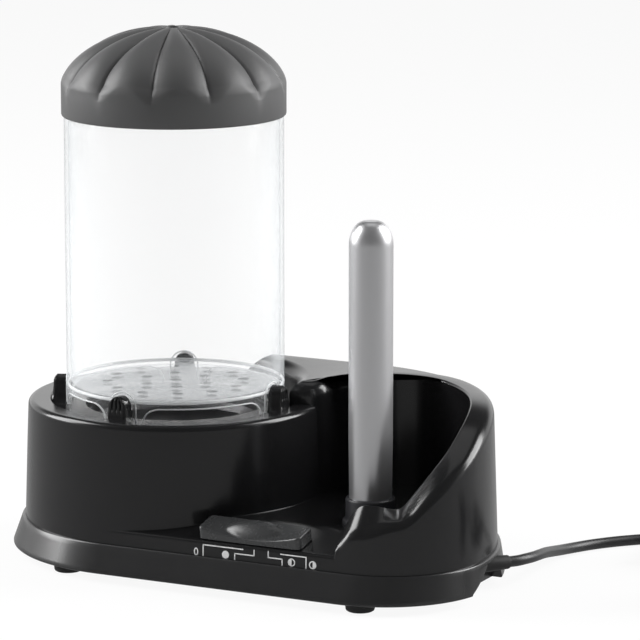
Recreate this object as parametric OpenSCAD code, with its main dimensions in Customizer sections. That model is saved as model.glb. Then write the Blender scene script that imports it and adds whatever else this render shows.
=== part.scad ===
// Hot dog steamer: a clear sausage container stands on a round tower that boils a little water, beside
// an open tray with one heated spike for buns and a slide switch with four positions.
// Millimetres, +Z up, front towards -Y. The origin is under the middle of the base, on the table.

/* [Plan of the base] */
// Radius of the skirt round the tower
base_r = 84.5; // [82:0.5:88]
// Distance from the tower's axis to the centre of the tray's front corner
lobe_dx = 133.5; // [129:0.5:138]
// Radius of the skirt round the tray's front corner
lobe_r = 55; // [52:0.5:58]
// How much further right the wall's round end stands than an even step would put it
wall_out = 3; // [2:0.25:4]

/* [Base] */
// Height of a rubber foot
foot_h = 4.5; // [4:0.5:7]
// Diameter of a rubber foot
foot_d = 15; // [12:0.5:18]
// Height of the skirt
skirt_h = 14.5; // [13.5:0.5:16]
// How far the skirt stands out from the wall above it
skirt_step = 6.5; // [5.5:0.25:8]
// Thickness of the bottom plate
plate_t = 2.5; // [2:0.25:3.5]
// Wall thickness of the black mouldings
shell_t = 2.5; // [2:0.25:3]

/* [Tower] */
// Height of the deck's edge above the table
deck_z = 80; // [76:0.5:84]
// Depth of the dished deck below its edge
deck_dish = 3; // [2:0.5:4]
// Share of the deck outside the lugs that its raised edge takes
deck_lip = 0.53; // [0.45:0.01:0.6]
// Radius of the opening over the water dish
dish_mouth_r = 46; // [42:0.5:47]
// Depth of the water dish
dish_depth = 12; // [9:0.5:15]

/* [Tray] */
// Height of the rim at the back
rim_z = 91; // [88:0.5:96]
// Thickness of the tray's wall
wall_t = 12; // [10:0.5:13]
// How much the walls lean in from the skirt to the rim
wall_lean = 2.5; // [1:0.25:3]
// Height of the tray's floor
floor_z = 33; // [31:0.5:36]
// Depth of the sloping front panel
panel_w = 28; // [24:0.5:32]
// How far the front panel falls to its front edge
panel_drop = 6.5; // [4:0.5:8]
// Radius of the tray's back corner
pocket_r = 34; // [30:0.5:36]
// Distance of the raised shoulder's front face behind the tower's axis
shoulder_y = 8; // [7.5:0.5:14]
// Height of the low point of the rim
valley_z = 48.75; // [46:0.25:50]
// Height of the crest at the rim's front end
beak_z = 51; // [50:0.5:56]

/* [Container] */
// Outer diameter of the clear container
jar_d = 112; // [110:0.5:113]
// Wall thickness of the container
jar_t = 2; // [1.5:0.25:2.5]
// Height of the container, from its feet to its rim
jar_h = 159; // [140:1:170]
// Height of the container's floor above its feet
jar_floor_h = 11; // [9:0.5:13]
// Width of a leg of the container
leg_w = 22; // [16:0.5:26]
// Diameter of the steam holes in the container's floor
steam_d = 6; // [4:0.5:8]
// Width of a locating lug
lug_w = 12; // [9:0.5:14]
// Height of a locating lug above the deck
lug_h = 14; // [12:0.5:16]

/* [Lid] */
// How much wider the lid is than the container
lid_over = 2.6; // [2.2:0.2:6]
// Height of the lid's upright band
lid_band_h = 16; // [13:0.5:20]
// How far the lid's edge hangs below the container's rim
lid_overlap = 10; // [7:0.5:12]
// Height of the dome above the band
lid_dome_h = 28.7; // [24:0.1:34]
// Number of lobes on the dome
lid_lobes = 12; // [8:1:16]
// Depth of the creases between the lobes
crease_d = 2.6; // [1.5:0.1:3]
// Wall thickness of the lid
lid_t = 2.2; // [1.6:0.1:2.8]
// Diameter of the steam hole in the lid
vent_d = 8; // [6:0.5:10]

/* [Spike] */
// Diameter of the heated spike
spike_d = 22; // [18:0.5:23]
// Height of the spike above the tray's floor
spike_h = 152; // [130:1:170]
// Wall thickness of the spike
spike_t = 1.2; // [0.8:0.1:2]
// Distance of the spike's axis from the tower's axis
spike_dx = 126; // [124:0.5:130]
// Distance of the spike's axis in front of the tower's axis
spike_dy = 30; // [26:0.5:32]
// Outer diameter of the collar round the spike
collar_d = 25; // [24.6:0.2:28]
// Height of the collar above the tray's floor
collar_h = 13; // [9:0.5:16]

/* [Switch] */
// Length of the sliding cap
cap_l = 56.5; // [52:0.5:58]
// Width of the sliding cap
cap_w = 15; // [13:0.5:17]
// Height of the sliding cap
cap_h = 6.5; // [5.5:0.5:8]
// Distance of the cap's middle from the tower's axis
cap_dx = 82.25; // [81.5:0.25:83.5]
// Travel between two switch positions
switch_pitch = 7.5; // [6:0.25:8]

/* [Cord] */
// Diameter of the mains lead
cord_d = 5.5; // [5:0.1:6]
// Mean radius of the coil
coil_r = 30; // [28:0.5:33]
// Turns in the coil, two layers together
coil_turns = 4.3333; // [4.3333, 5.3333]
// Free gap between the turns
coil_gap = 0.7; // [0.6:0.05:1.2]

/* [Hidden] */

$fn = 64;
fit = 0.3;
eps = 0.01;

// Heights that follow from the sizes above
plate_z = foot_h + plate_t;
skirt_z = foot_h + skirt_h;
tuck = 1;
wall_foot_z = skirt_z - tuck;
deck_floor_z = deck_z - deck_dish;
deck_under_z = deck_floor_z - shell_t;

// Plan of the base, from the tower's axis. The front edge, the front corner, the long back curve and
// the back edge run into one another without a corner.
lobe_y = lobe_r - base_r;
back_r = 2 * base_r - lobe_r;
back_x = lobe_dx + lobe_r - back_r;
tower_x = -(lobe_dx + lobe_r - base_r) / 2;

// A list of points on an arc, both ends in it
function arc(c, r, from, to, n) =
    [for (i = [0:n]) let (a = from + (to - from) * i / n) c + r * [cos(a), sin(a)]];
function without_first(list) = [for (i = [1:len(list) - 1]) list[i]];
function smooth(t) = t * t * (3 - 2 * t);
function outline(inset, out = 0) = concat(
    arc([0, 0], base_r - inset, 90, 270, 36),
    arc([lobe_dx + out, lobe_y], lobe_r - inset, -90, 0, 14),
    without_first(arc([back_x + out, lobe_y], back_r - inset, 0, 90, 16)));
wall_lobe = [lobe_dx + wall_out, lobe_y];
wall_back = [back_x + wall_out, lobe_y];

// Inset of the wall from the skirt's widest line, at a height
function wall_inset(z) = skirt_step + wall_lean * (z - skirt_z) / (rim_z - skirt_z);
function tower_r(z) = base_r - wall_inset(z);

// A solid that follows the plan outline, from a list of [height, inset, shift of the right end]
module outline_stack(levels) {
    n = len(outline(0));
    m = len(levels);
    points = [for (l = levels) for (p = outline(l[1], l[2])) [p.x, p.y, l[0]]];
    faces = concat(
        [[for (i = [0:n - 1]) i]],
        [[for (i = [n - 1:-1:0]) (m - 1) * n + i]],
        [for (k = [0:m - 2]) for (i = [0:n - 1]) let (j = (i + 1) % n)
            [k * n + i, (k + 1) * n + i, (k + 1) * n + j, k * n + j]]);
    polyhedron(points, faces);
}

// A tube of closed sections, from a list of rings with as many points each
module loft(rings) {
    n = len(rings[0]);
    m = len(rings);
    points = [for (r = rings) for (p = r) p];
    sides = [for (k = [0:m - 2]) for (i = [0:n - 1]) let (j = (i + 1) % n)
        each [[k * n + i, (k + 1) * n + j, (k + 1) * n + i], [k * n + i, k * n + j, (k + 1) * n + j]]];
    ends = [[for (i = [n - 1:-1:0]) i], [for (i = [0:n - 1]) (m - 1) * n + i]];
    polyhedron(points, concat(ends, sides));
}

module from_tower() { translate([tower_x, 0, 0]) children(); }

// The tray's inner boundary, seen from above: from the shoulder's front face, round its corner, along
// the back corner of the pocket and the long back curve to the front corner.
wall_in = wall_inset(rim_z) + wall_t;
lobe_in_r = lobe_r - wall_in;
back_in_r = back_r - wall_in;
pocket_x = tower_r(floor_z) + pocket_r + 0.5;
pocket_y = lobe_y + sqrt(pow(back_in_r - pocket_r, 2) - pow(pocket_x - wall_back.x, 2));
pocket_a = atan2(pocket_y - lobe_y, pocket_x - wall_back.x);
nose_r = 13;
nose_c = [pocket_x - pocket_r - nose_r + 0.5, shoulder_y + nose_r];
nose_a = -15;
pocket_start_a = 165;
shoulder_r = jar_d / 2 + 6;
shoulder_end_x = 3;

// Rim heights along the wall: level at the back, falling faster and faster to the valley, up to the crest
// and down along the horn, which thins and runs out along the front edge
fall_a = 40;
valley_a = -55.5;
crest_a = -79;
horn_a = -82;
horn_l = 7.3;
fall_back = (back_in_r + 1) * fall_a * PI / 180;
fall_lobe = (lobe_in_r + 1) * -valley_a * PI / 180;
function rim_fall(s) =
    let (u = max(0, s / (fall_back + fall_lobe))) rim_z - (rim_z - valley_z) * pow(u, 3);
function back_rim(a) = rim_fall((fall_a - a) / fall_a * fall_back);
panel_front_z = floor_z - panel_drop;
rim_end_z = panel_front_z + 1.8;
horn_turn = (lobe_in_r + 1) * PI / 180;
function horn_share(a, run) = max(0, ((horn_a - a) * horn_turn + run) / ((horn_a + 90) * horn_turn + horn_l));
function horn_fall(u) = 0.75 * pow(u, 1.8) + 0.25 * (1 - sqrt(max(0, 1 - u * u)));
function horn_rim(u) = beak_z - (beak_z - rim_end_z) * horn_fall(u);
function lobe_rim(a) =
    a > valley_a ? rim_fall(fall_back + a / valley_a * fall_lobe)
    : a > horn_a ? valley_z + (beak_z - valley_z) * smooth(min(1, (a - valley_a) / (crest_a - valley_a)))
    : horn_rim(horn_share(a, 0));
horn_tip_t = 2.7;
function horn_thin(u) = (wall_t - horn_tip_t) * pow(u, 3);
// How far the rim's top falls from its inner edge to its outer one
back_drop = 1;
lobe_drop = 4;
horn_drop = 11.5;
tip_drop = 2;
function lobe_band(a) = lobe_drop + (horn_drop - lobe_drop) * smooth(max(0, min(1, (-58 - a) / 24)));
function horn_band(u) = horn_drop + (tip_drop - horn_drop) * pow(u, 6);

// Stations of the wall: [inner point, outward direction, rim height, thinning, upright or leaning, drop]
function station(c, r, a, sign, h, thin, upright, drop) =
    [c + r * [cos(a), sin(a)], sign * [cos(a), sin(a)], h, thin, upright, drop];
pocket_stations = concat(
    [[[nose_c.x - 3, shoulder_y], [0, 1], rim_z, 0, 1, back_drop]],
    [for (i = [0:5]) station(nose_c, nose_r, -90 + (nose_a + 90) * i / 5, -1, rim_z, 0, 1, back_drop)],
    [for (i = [0:10]) station([pocket_x, pocket_y], pocket_r,
        pocket_start_a + (pocket_a - pocket_start_a) * i / 10, 1, rim_z, 0, 0, back_drop)]);
back_stations = [for (i = [1:10]) let (a = pocket_a * (1 - i / 10))
    station(wall_back, back_in_r, a, 1, back_rim(a), 0, 0,
        back_drop + (lobe_drop - back_drop) * smooth(i / 10))];
lobe_angles = concat([for (a = [-5:-5:-50]) a], [-53, valley_a, -58, -62, -66, -71, -76, crest_a, horn_a]);
lobe_stations = [for (a = lobe_angles) station(wall_lobe, lobe_in_r, a, 1, lobe_rim(a), 0, 0, lobe_band(a))];
horn_stations = concat(
    [for (a = [-84.5, -87.2, -90]) let (u = horn_share(a, 0))
        station(wall_lobe, lobe_in_r, a, 1, horn_rim(u), horn_thin(u), 0, horn_band(u))],
    [for (run = [0.33, 0.58, 0.8, 1] * horn_l) let (u = horn_share(-90, run))
        station(wall_lobe - [run, 0], lobe_in_r, -90, 1, horn_rim(u), horn_thin(u), 0, horn_band(u))]);

// One section of the wall: a small round at the inner edge, a band that slopes outwards and a soft bend into
// the outer face. Skin is how far it lies inside the real surface.
rim_in_r = 1.3;
function wall_out_at(s, z, skin) = [wall_in - wall_inset(s[4] > 0 ? rim_z : z) - skin - s[4], z];
function wall_section(s, skin, foot) =
    let (
        low = s[3] + skin,
        top = s[2] - skin,
        corner = wall_out_at(s, top - s[5], skin),
        bend = min(4.5, 0.45 * (corner[0] - low)),
        from = corner + bend * unit([low + rim_in_r, top] - corner),
        to = wall_out_at(s, corner[1] - bend, skin),
        flat = concat(
            [[low, foot]],
            [for (a = [0, 45, 90]) [low + rim_in_r * (1 - cos(a)), top - rim_in_r * (1 - sin(a))]],
            [for (t = [0:0.25:1]) (1 - t) * (1 - t) * from + 2 * t * (1 - t) * corner + t * t * to],
            [wall_out_at(s, foot, skin)]))
    [for (p = flat) [s[0].x + p[0] * s[1].x, s[0].y + p[0] * s[1].y, p[1]]];
module wall(stations, skin, foot) { loft([for (s = stations) wall_section(s, skin, foot)]); }

// The raised shoulder starts in the middle of the wall and ends where the wall meets the long back curve.
// Its plan lies inset by skin, and its foot stands a little above the tower's.
foot_step = 0.15;
pocket_turn = [for (i = [7:len(pocket_stations) - 1]) pocket_stations[i]];
function shoulder_end(skin) = wall_back
    + 2 * back_r * [cos(pocket_a + 2 + skin), sin(pocket_a + 2 + skin)];
function tray_front(skin) = concat(
    skin == 0 ? [for (s = pocket_stations) s[0] + wall_t / 2 * s[1]]
        : concat([[shoulder_r, shoulder_y + wall_t], [nose_c.x - 2, shoulder_y + wall_t]],
            [for (s = pocket_turn) s[0] + (wall_t / 2 + skin) * s[1]]),
    [shoulder_end(skin), [3 * base_r, -2 * base_r], [-2 * base_r, -2 * base_r]],
    [[-2 * base_r, shoulder_y + (skin == 0 ? wall_t / 2 : wall_t)]]);
module shoulder_plan(inset, skin) {
    difference() {
        polygon(outline(inset, wall_out));
        circle(shoulder_r + skin, $fn = 72);
        polygon(tray_front(skin));
        translate([shoulder_end_x + skin - 2 * base_r, -base_r]) square([2 * base_r, 2 * base_r]);
    }
}
edge_r = 6;
shoulder_z = rim_z - 0.4;
tangent_gap = 0.1;
module shoulder() {
    intersection() {
        translate([0, 0, wall_foot_z + 3 * foot_step]) linear_extrude(rim_z - wall_foot_z)
            shoulder_plan(0, 0);
        outline_stack(concat(
            [[wall_foot_z - 1, wall_inset(wall_foot_z - 1) + tangent_gap, wall_out]],
            [for (a = [0:15:90]) [shoulder_z - edge_r + edge_r * sin(a),
                wall_inset(shoulder_z - edge_r) + tangent_gap + edge_r * (1 - cos(a)), wall_out]]));
        // The left end slopes down to the deck behind the container
        translate([shoulder_end_x, -base_r, deck_floor_z - 1]) rotate([0, 135, 0])
            translate([-2 * base_r, 0, 0]) cube([4 * base_r, 2 * base_r, 4 * base_r]);
    }
}
module shoulder_hollow() {
    translate([0, 0, wall_foot_z - 1]) linear_extrude(rim_z - 3 - wall_foot_z + 1)
        shoulder_plan(wall_inset(rim_z) + shell_t, shell_t);
}

// The tray as one sheet: floor, sloping panel and low front wall. It ends inside the walls' thickness.
panel_front_y = -base_r + wall_inset(panel_front_z);
panel_back_y = panel_front_y + panel_w;
panel_slope = panel_drop / panel_w;
all_stations = concat(pocket_stations, back_stations, lobe_stations, horn_stations);
tray_edge = [for (i = [0:len(all_stations) - 2]) let (s = all_stations[i])
    s[0] + (s[3] + shell_t / 2) * s[1]];
tray_end = tray_edge[len(tray_edge) - 1];
module tray_sheet() {
    foot = wall_foot_z + 2 * foot_step;
    foot_y = -base_r + wall_inset(foot) + tangent_gap;
    front_y = panel_front_y + tangent_gap;
    intersection() {
        translate([-2, 0, 0]) rotate([90, 0, 90]) linear_extrude(lobe_dx + lobe_r)
            polygon([[base_r, floor_z], [panel_back_y, floor_z],
                [front_y + 1.5, panel_front_z + 1.5 * panel_slope], [front_y + 0.5, panel_front_z],
                [front_y, panel_front_z - 0.8], [foot_y, foot],
                [foot_y + shell_t, foot], [front_y + shell_t, panel_front_z - shell_t],
                [panel_back_y, floor_z - shell_t], [base_r, floor_z - shell_t]]);
        linear_extrude(2 * floor_z) difference() {
            polygon(concat(tray_edge, [[tray_end.x, -base_r], [-2, -base_r], [-2, 0]]));
            circle(tower_r(floor_z) - shell_t / 2, $fn = 72);
        }
    }
}

// The tower as a turned shell with its dished deck
lip_r = 3;
lug_t = 7.5;
lug_in_r = jar_d / 2 + fit;
deck_r = tower_r(deck_z);
deck_rib_r = deck_r - deck_lip * (deck_r - lug_in_r - lug_t);
module tower_shell() {
    rotate_extrude($fn = 72) polygon(concat(
        [[tower_r(wall_foot_z) - shell_t, wall_foot_z], [tower_r(wall_foot_z), wall_foot_z]],
        [for (a = [0:22.5:90]) [deck_r - lip_r + lip_r * cos(a), deck_z - lip_r + lip_r * sin(a)]],
        [[deck_rib_r, deck_z], [deck_rib_r - deck_dish, deck_floor_z], [dish_mouth_r, deck_floor_z],
            [dish_mouth_r, deck_under_z], [deck_r - shell_t - 1, deck_under_z]]));
}

// Bosses for the base screws: [x, y] from the tower's axis
boss_r = 4;
screw_r = 1.4;
screw_head_r = 3;
tower_boss_r = tower_r(skirt_z) - shell_t - boss_r - 1;
tower_bosses = [for (a = [60, 160, 240]) tower_boss_r * [cos(a), sin(a)]];
tray_bosses = [[lobe_dx - 6, lobe_y - lobe_in_r + 2],
    [back_x, lobe_y] + (back_in_r - boss_r) * [cos(48), sin(48)]];
tower_boss_z = 34;
function boss_top(p) = (p.y < panel_back_y ? panel_z(p.y) : floor_z) - shell_t + 0.8;
module rotate_at(p, a) { translate([p.x, p.y, 0]) rotate(a) children(); }
module boss(p, top) {
    difference() {
        union() {
            translate([p.x, p.y, plate_z]) cylinder(r = boss_r, h = top - plate_z, $fn = 24);
            // Gussets from the boss to the shell
            for (turn = [-32, 32]) rotate_at(p, atan2(p.y, p.x) + turn) rotate([90, 0, 0])
                linear_extrude(1.6, center = true) polygon([[0, wall_foot_z + 4], [1, wall_foot_z + 4],
                    [boss_r + 2.3, top - 4], [boss_r + 2.3, top - 1], [0, top - 1]]);
        }
        translate([p.x, p.y, plate_z - 1]) cylinder(r = screw_r + 0.05, h = 14, $fn = 24);
    }
}

// Switch slot in the sloping panel
panel_a = atan(panel_slope);
cap_y = panel_front_y + cap_w / 2 + 1;
function panel_z(y) = floor_z - panel_slope * (panel_back_y - y);
slot_w = 5;
stem_l = 14;
slot_l = stem_l + 3 * switch_pitch + 1;
slot_dx = switch_pitch / 2;
module on_panel(dx) {
    translate([cap_dx + dx, cap_y, panel_z(cap_y)]) rotate([panel_a, 0, 0]) children();
}

// The seats of the lugs, and the openings that the spike and the lead use
lug_angles = [0, 114, 204, 270];
peg_r = 2.2;
spike_hole_r = spike_d / 2 - 2;
under_z = floor_z - shell_t;

module upper_housing() {
    color("#1c1c1e") from_tower() {
        difference() {
            union() {
                difference() {
                    union() {
                        wall(all_stations, 0, wall_foot_z + foot_step);
                        shoulder();
                    }
                    wall(concat(back_stations, lobe_stations), shell_t, wall_foot_z - 1);
                    shoulder_hollow();
                    // The tower's own space
                    translate([0, 0, wall_foot_z - 1]) cylinder(h = deck_under_z - wall_foot_z + 2,
                        r1 = tower_r(wall_foot_z) - shell_t / 2, r2 = tower_r(deck_under_z) - shell_t / 2,
                        $fn = 72);
                }
                tray_sheet();
                difference() {
                    tower_shell();
                    // The way under the tray's floor for the leads
                    translate([tower_boss_r - 8, -panel_w, 0]) cube([base_r, 1.6 * panel_w, under_z - 2]);
                }
                for (p = tower_bosses) boss(p, tower_boss_z);
                for (p = tray_bosses) boss(p, boss_top(p));
                // Posts that carry the switch body
                for (x = switch_posts) on_panel(x)
                    translate([0, 0, -shell_t - switch_drop]) difference() {
                        cylinder(r = 3, h = switch_drop + 1, $fn = 24);
                        translate([0, 0, -1])
                            cylinder(r = post_screw_r + 0.05, h = switch_drop + 0.5, $fn = 24);
                    }
            }
            // Slot of the switch
            on_panel(slot_dx) translate([-slot_l / 2, -slot_w / 2, -2 * shell_t]) cube([slot_l, slot_w, 20]);
            // Hole under the spike
            translate([spike_dx, -spike_dy, floor_z - 10]) cylinder(r = spike_hole_r, h = 20, $fn = 48);
            // Room over the cord clamp
            translate([clamp_c.x, clamp_c.y, 0]) rotate(gland_a)
                translate([-clamp_l / 2 - 1, -clamp_w / 2 - 1, wall_foot_z - 2])
                    cube([clamp_l + 2, clamp_w + 2, 6]);
            // Holes of the lugs' pegs
            for (a = lug_angles) rotate(a) translate([lug_in_r + lug_t / 2, 0, deck_under_z - 1])
                cylinder(r = peg_r + 0.15, h = 10, $fn = 32);
            // Pilot holes of the dish's screws
            for (a = dish_screw_angles) rotate(a) translate([dish_screw_c, 0, deck_under_z - 1])
                cylinder(r = screw_r + 0.05, h = 1 + 0.7 * shell_t, $fn = 24);
        }
    }
}

// The skirt and the bottom plate in one moulding, with the notch where the lead comes out
notch_w = 41;
notch_d = 9.5;
gland_a = 50;
gland_l = 22;
gland_end = [lobe_dx + lobe_r - 0.5, 0, foot_h + 8.5];
gland_dir = [cos(gland_a), sin(gland_a), 0];
foot_in = 11;
feet = [[-25, -base_r + foot_in + 4.5], [lobe_dx + 8, -base_r + foot_in], [-25, base_r - foot_in - 4.5],
    [lobe_dx - 21, base_r - 3 * foot_in]];
plate_screws = concat(tower_bosses, tray_bosses);
skirt_t = 2.2;
rib_l = 0.8 * base_r;
rib_pitch = 0.17 * lobe_dx;
module bottom_shell() {
    color("#19191b") from_tower() difference() {
        union() {
            difference() {
                outline_stack([[foot_h, 0.4, 0], [foot_h + 0.5, 0, 0],
                    [skirt_z - 0.5, skirt_step - 1.6, wall_out], [skirt_z, skirt_step - 1, wall_out]]);
                outline_stack([[plate_z, skirt_t + 0.8, 0], [skirt_z - 3, skirt_step - fit, wall_out],
                    [skirt_z + 1, skirt_step - fit, wall_out]]);
            }
            // Ribs that stiffen the plate
            for (i = [-2:5]) hull() for (s = [-1, 1])
                translate([i * rib_pitch, s * rib_l / 2, plate_z - eps]) cylinder(r = 0.8, h = 3, $fn = 8);
            // Seat of the cord clamp
            translate([clamp_c.x, clamp_c.y, plate_z - eps]) rotate(gland_a)
                translate([-clamp_l / 2, -clamp_w / 2, 0]) difference() {
                    cube([clamp_l, clamp_w, clamp_seat_h]);
                    for (y = [clamp_screw_y, clamp_w - clamp_screw_y]) translate([clamp_l / 2, y, 1])
                        cylinder(r = 1.25, h = 20, $fn = 24);
                }
            // Seat of the terminal block
            translate([block_c.x - block_l / 2 - 2, block_c.y - block_w / 2 - 2, plate_z - eps])
                difference() {
                    cube([block_l + 4, block_w + 4, 5]);
                    translate([2 - fit / 2, 2 - fit / 2, 2]) cube([block_l + fit, block_w + fit, 20]);
                }
        }
        // The notch opens the skirt at its right end
        translate([lobe_dx + lobe_r - notch_d, -notch_w, 0]) hull() {
            translate([0, 0, foot_h - 1]) cube([2 * notch_d, notch_w, 2]);
            translate([0, 0.44 * notch_w, skirt_z - 3]) cube([2 * notch_d, 0.45 * notch_w, 1]);
        }
        // Clearance round the gland
        translate(gland_end - gland_l * gland_dir) rotate([0, 90, gland_a])
            translate([0, 0, -4]) cylinder(r = gland_flange_r + 0.5, h = gland_l + 8, $fn = 32);
        for (p = plate_screws) translate([p.x, p.y, foot_h - 1])
            cylinder(r = screw_r + 0.3, h = 10, $fn = 24);
        for (p = feet) translate([p.x, p.y, foot_h - 1])
            cylinder(r = foot_stem_r + 0.15, h = 10, $fn = 32);
    }
}

// Four lugs that keep the container in its place: wide at the foot, narrow and grooved at the top
module lug() {
    groove_r = 0.9;
    top_r = 0.36 * lug_w;
    top_t = 0.6 * lug_t;
    difference() {
        union() {
            hull() {
                translate([lug_in_r, -lug_w / 2, deck_floor_z]) cube([lug_t, lug_w, 1]);
                translate([lug_in_r, 0, deck_floor_z + lug_h - top_r]) rotate([0, 90, 0])
                    cylinder(r = top_r, h = top_t, $fn = 40);
            }
            translate([lug_in_r + lug_t / 2, 0, deck_under_z - 1.5]) cylinder(r = peg_r, h = shell_t + 1.6);
        }
        for (y = [-0.17, 0.17] * lug_w) translate([lug_in_r + top_t + 0.3, y, deck_floor_z + 0.55 * lug_h])
            cylinder(r = groove_r, h = lug_h, $fn = 32);
    }
}
module container_lugs() {
    color("#1e1e20") from_tower() for (a = lug_angles) rotate(a) lug();
}

// Water dish, pressed from sheet and clamped under the deck with its seal
dish_t = 1;
dish_r = dish_mouth_r - 1.5;
dish_flange_w = 4.5;
seal_t = 1;
dish_flange_z = deck_under_z - seal_t - dish_t;
dish_floor_z = deck_floor_z - dish_depth;
dish_under_z = dish_floor_z - dish_t;
dish_screw_angles = [45, 135, 225, 315];
dish_screw_c = dish_r + dish_flange_w + 4;
module water_dish() {
    color("#b9bcc0") from_tower() rotate_extrude($fn = 96) polygon([
        [0, dish_under_z], [dish_r - 4, dish_under_z], [dish_r, dish_under_z + 4], [dish_r, dish_flange_z],
        [dish_r + dish_flange_w, dish_flange_z], [dish_r + dish_flange_w, dish_flange_z + dish_t],
        [dish_r - dish_t, dish_flange_z + dish_t], [dish_r - dish_t, dish_under_z + 4.4],
        [dish_r - 4.4, dish_floor_z], [0, dish_floor_z]]);
}
module dish_seal() {
    color("#2e2e30") from_tower() translate([0, 0, deck_under_z - seal_t]) difference() {
        cylinder(r = dish_r + dish_flange_w, h = seal_t, $fn = 96);
        translate([0, 0, -1]) cylinder(r = dish_mouth_r, h = 4, $fn = 96);
    }
}
clamp_ring_t = 1.5;
clamp_ring_z = dish_flange_z - clamp_ring_t;
module dish_clamp() {
    color("#8d9094") from_tower() difference() {
        union() {
            translate([0, 0, clamp_ring_z]) cylinder(r = dish_screw_c + 4, h = clamp_ring_t, $fn = 96);
            // Spacers that stop the screws from crushing the seal
            for (a = dish_screw_angles) rotate(a) translate([dish_screw_c, 0, clamp_ring_z])
                cylinder(r = 2.8, h = deck_under_z - clamp_ring_z);
        }
        translate([0, 0, -1]) cylinder(r = dish_r + fit, h = 2 * deck_z, $fn = 96);
        for (a = dish_screw_angles) rotate(a) translate([dish_screw_c, 0, -1])
            cylinder(r = screw_r + 0.2, h = 2 * deck_z);
    }
}
module dish_screws() {
    color("#9a9da1") from_tower() for (a = dish_screw_angles) rotate(a)
        translate([dish_screw_c, 0, clamp_ring_z - 2]) {
            cylinder(r = 2.6, h = 2);
            cylinder(r = screw_r, h = 2 + deck_under_z - clamp_ring_z + 0.5 * shell_t);
        }
}

// Heating under the dish: an aluminium plate with a grooved-in tube, a thermostat and a fuse
plate_r = dish_r - 5;
heat_plate_t = 5;
tube_r = 3.2;
tube_c = plate_r - 7;
heat_plate_z = dish_under_z - heat_plate_t;
tube_gap_a = 40;
module tube_ring(r) {
    rotate(tube_gap_a / 2) rotate_extrude(angle = 360 - tube_gap_a)
        translate([tube_c, 0]) circle(r);
}
module heat_plate() {
    color("#a7abb0") from_tower() difference() {
        translate([0, 0, heat_plate_z]) cylinder(r = plate_r, h = heat_plate_t);
        translate([0, 0, heat_plate_z]) rotate_extrude() translate([tube_c, 0]) circle(tube_r + 0.1);
    }
}
module heating_tube() {
    color("#6f6a66") from_tower() translate([0, 0, heat_plate_z]) {
        tube_ring(tube_r);
        for (s = [-1, 1]) rotate(s * tube_gap_a / 2) translate([tube_c, 0, 0]) rotate([s * 90, 0, 0])
            translate([0, 0, -0.5]) cylinder(r = 1.2, h = 6.5);
    }
}
stat_r = 8;
stat_h = 7;
module thermostat() {
    color("#d8d2c4") from_tower() translate([0, 0, heat_plate_z - stat_h]) {
        cylinder(r = stat_r, h = stat_h);
        for (s = [-1, 1]) translate([s * (stat_r - 3) - 2, -0.4, -7]) cube([4, 0.8, 7.5]);
    }
}
fuse_l = 11;
fuse_y = 17;
module thermal_fuse() {
    color("#c9ccd0") from_tower() translate([0, fuse_y, heat_plate_z - 3]) {
        translate([-fuse_l / 2, 0, 0]) rotate([0, 90, 0]) cylinder(r = 2, h = fuse_l);
        translate([-2.5, -3.5, -0.5]) cube([5, 7, 3.5]);
    }
}

// Heated spike with its collar, heater, insulator and nut
spike_top_z = floor_z + spike_h;
spike_r = spike_d / 2;
tip_r = 3;
module at_spike() { from_tower() translate([spike_dx, -spike_dy, 0]) children(); }
spike_taper = 0.5;
spike_seat_z = floor_z + 2;
tip_h = spike_r * 1.1;
module spike() {
    inner = spike_r - spike_t;
    color("#c4c6c9") at_spike() rotate_extrude($fn = 96) polygon(concat(
        [[inner - spike_taper, spike_seat_z], [spike_r - spike_taper, spike_seat_z],
            [spike_r, spike_seat_z + 40], [spike_r, spike_top_z - tip_h]],
        [for (a = [15:15:75]) [tip_r + (spike_r - tip_r) * cos(a), spike_top_z - tip_h + tip_h * sin(a)]],
        [[tip_r, spike_top_z], [0, spike_top_z], [0, spike_top_z - spike_t - 1],
            [tip_r, spike_top_z - spike_t - 1], [inner, spike_top_z - tip_h - spike_t],
            [inner, spike_seat_z + 40]]));
}
collar_bore_r = spike_r - spike_taper + 0.1;
module spike_collar() {
    color("#202022") at_spike() difference() {
        union() {
            translate([0, 0, floor_z]) cylinder(r = collar_d / 2, h = collar_h - 1);
            translate([0, 0, floor_z + collar_h - 1]) cylinder(r = collar_d / 2 - 0.4, h = 1);
            translate([0, 0, floor_z]) cylinder(r = collar_d / 2 + 1.5, h = 2);
        }
        translate([0, 0, spike_seat_z]) cylinder(h = collar_h, r1 = collar_bore_r,
            r2 = collar_bore_r + spike_taper * collar_h / 40);
        cylinder(r = stud_r + 0.2, h = 2 * floor_z);
    }
}
stud_r = 4;
nut_h = 4;
insulator_h = 4;
stud_foot_z = under_z - insulator_h - nut_h - 2;
heater_r = spike_r - spike_t - spike_taper - 1.5;
heater_top_z = spike_top_z - tip_h - 20;
module spike_heater() {
    color("#e6e0d4") at_spike() {
        translate([0, 0, spike_seat_z]) cylinder(r = heater_r, h = heater_top_z - spike_seat_z);
        translate([0, 0, stud_foot_z]) cylinder(r = stud_r, h = spike_seat_z - stud_foot_z + eps);
    }
}
module spike_insulator() {
    color("#cfc7b4") at_spike() difference() {
        union() {
            translate([0, 0, under_z - insulator_h]) cylinder(r = spike_hole_r + 4, h = insulator_h);
            translate([0, 0, under_z - eps]) cylinder(r = spike_hole_r - 0.2, h = shell_t + eps);
        }
        cylinder(r = stud_r + 0.2, h = 2 * floor_z);
    }
}
module spike_nut() {
    color("#b5b8bb") at_spike() translate([0, 0, under_z - insulator_h - nut_h]) difference() {
        cylinder(r = stud_r * 1.9, h = nut_h, $fn = 6);
        translate([0, 0, -1]) cylinder(r = stud_r + 0.05, h = nut_h + 2, $fn = 48);
    }
}

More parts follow.
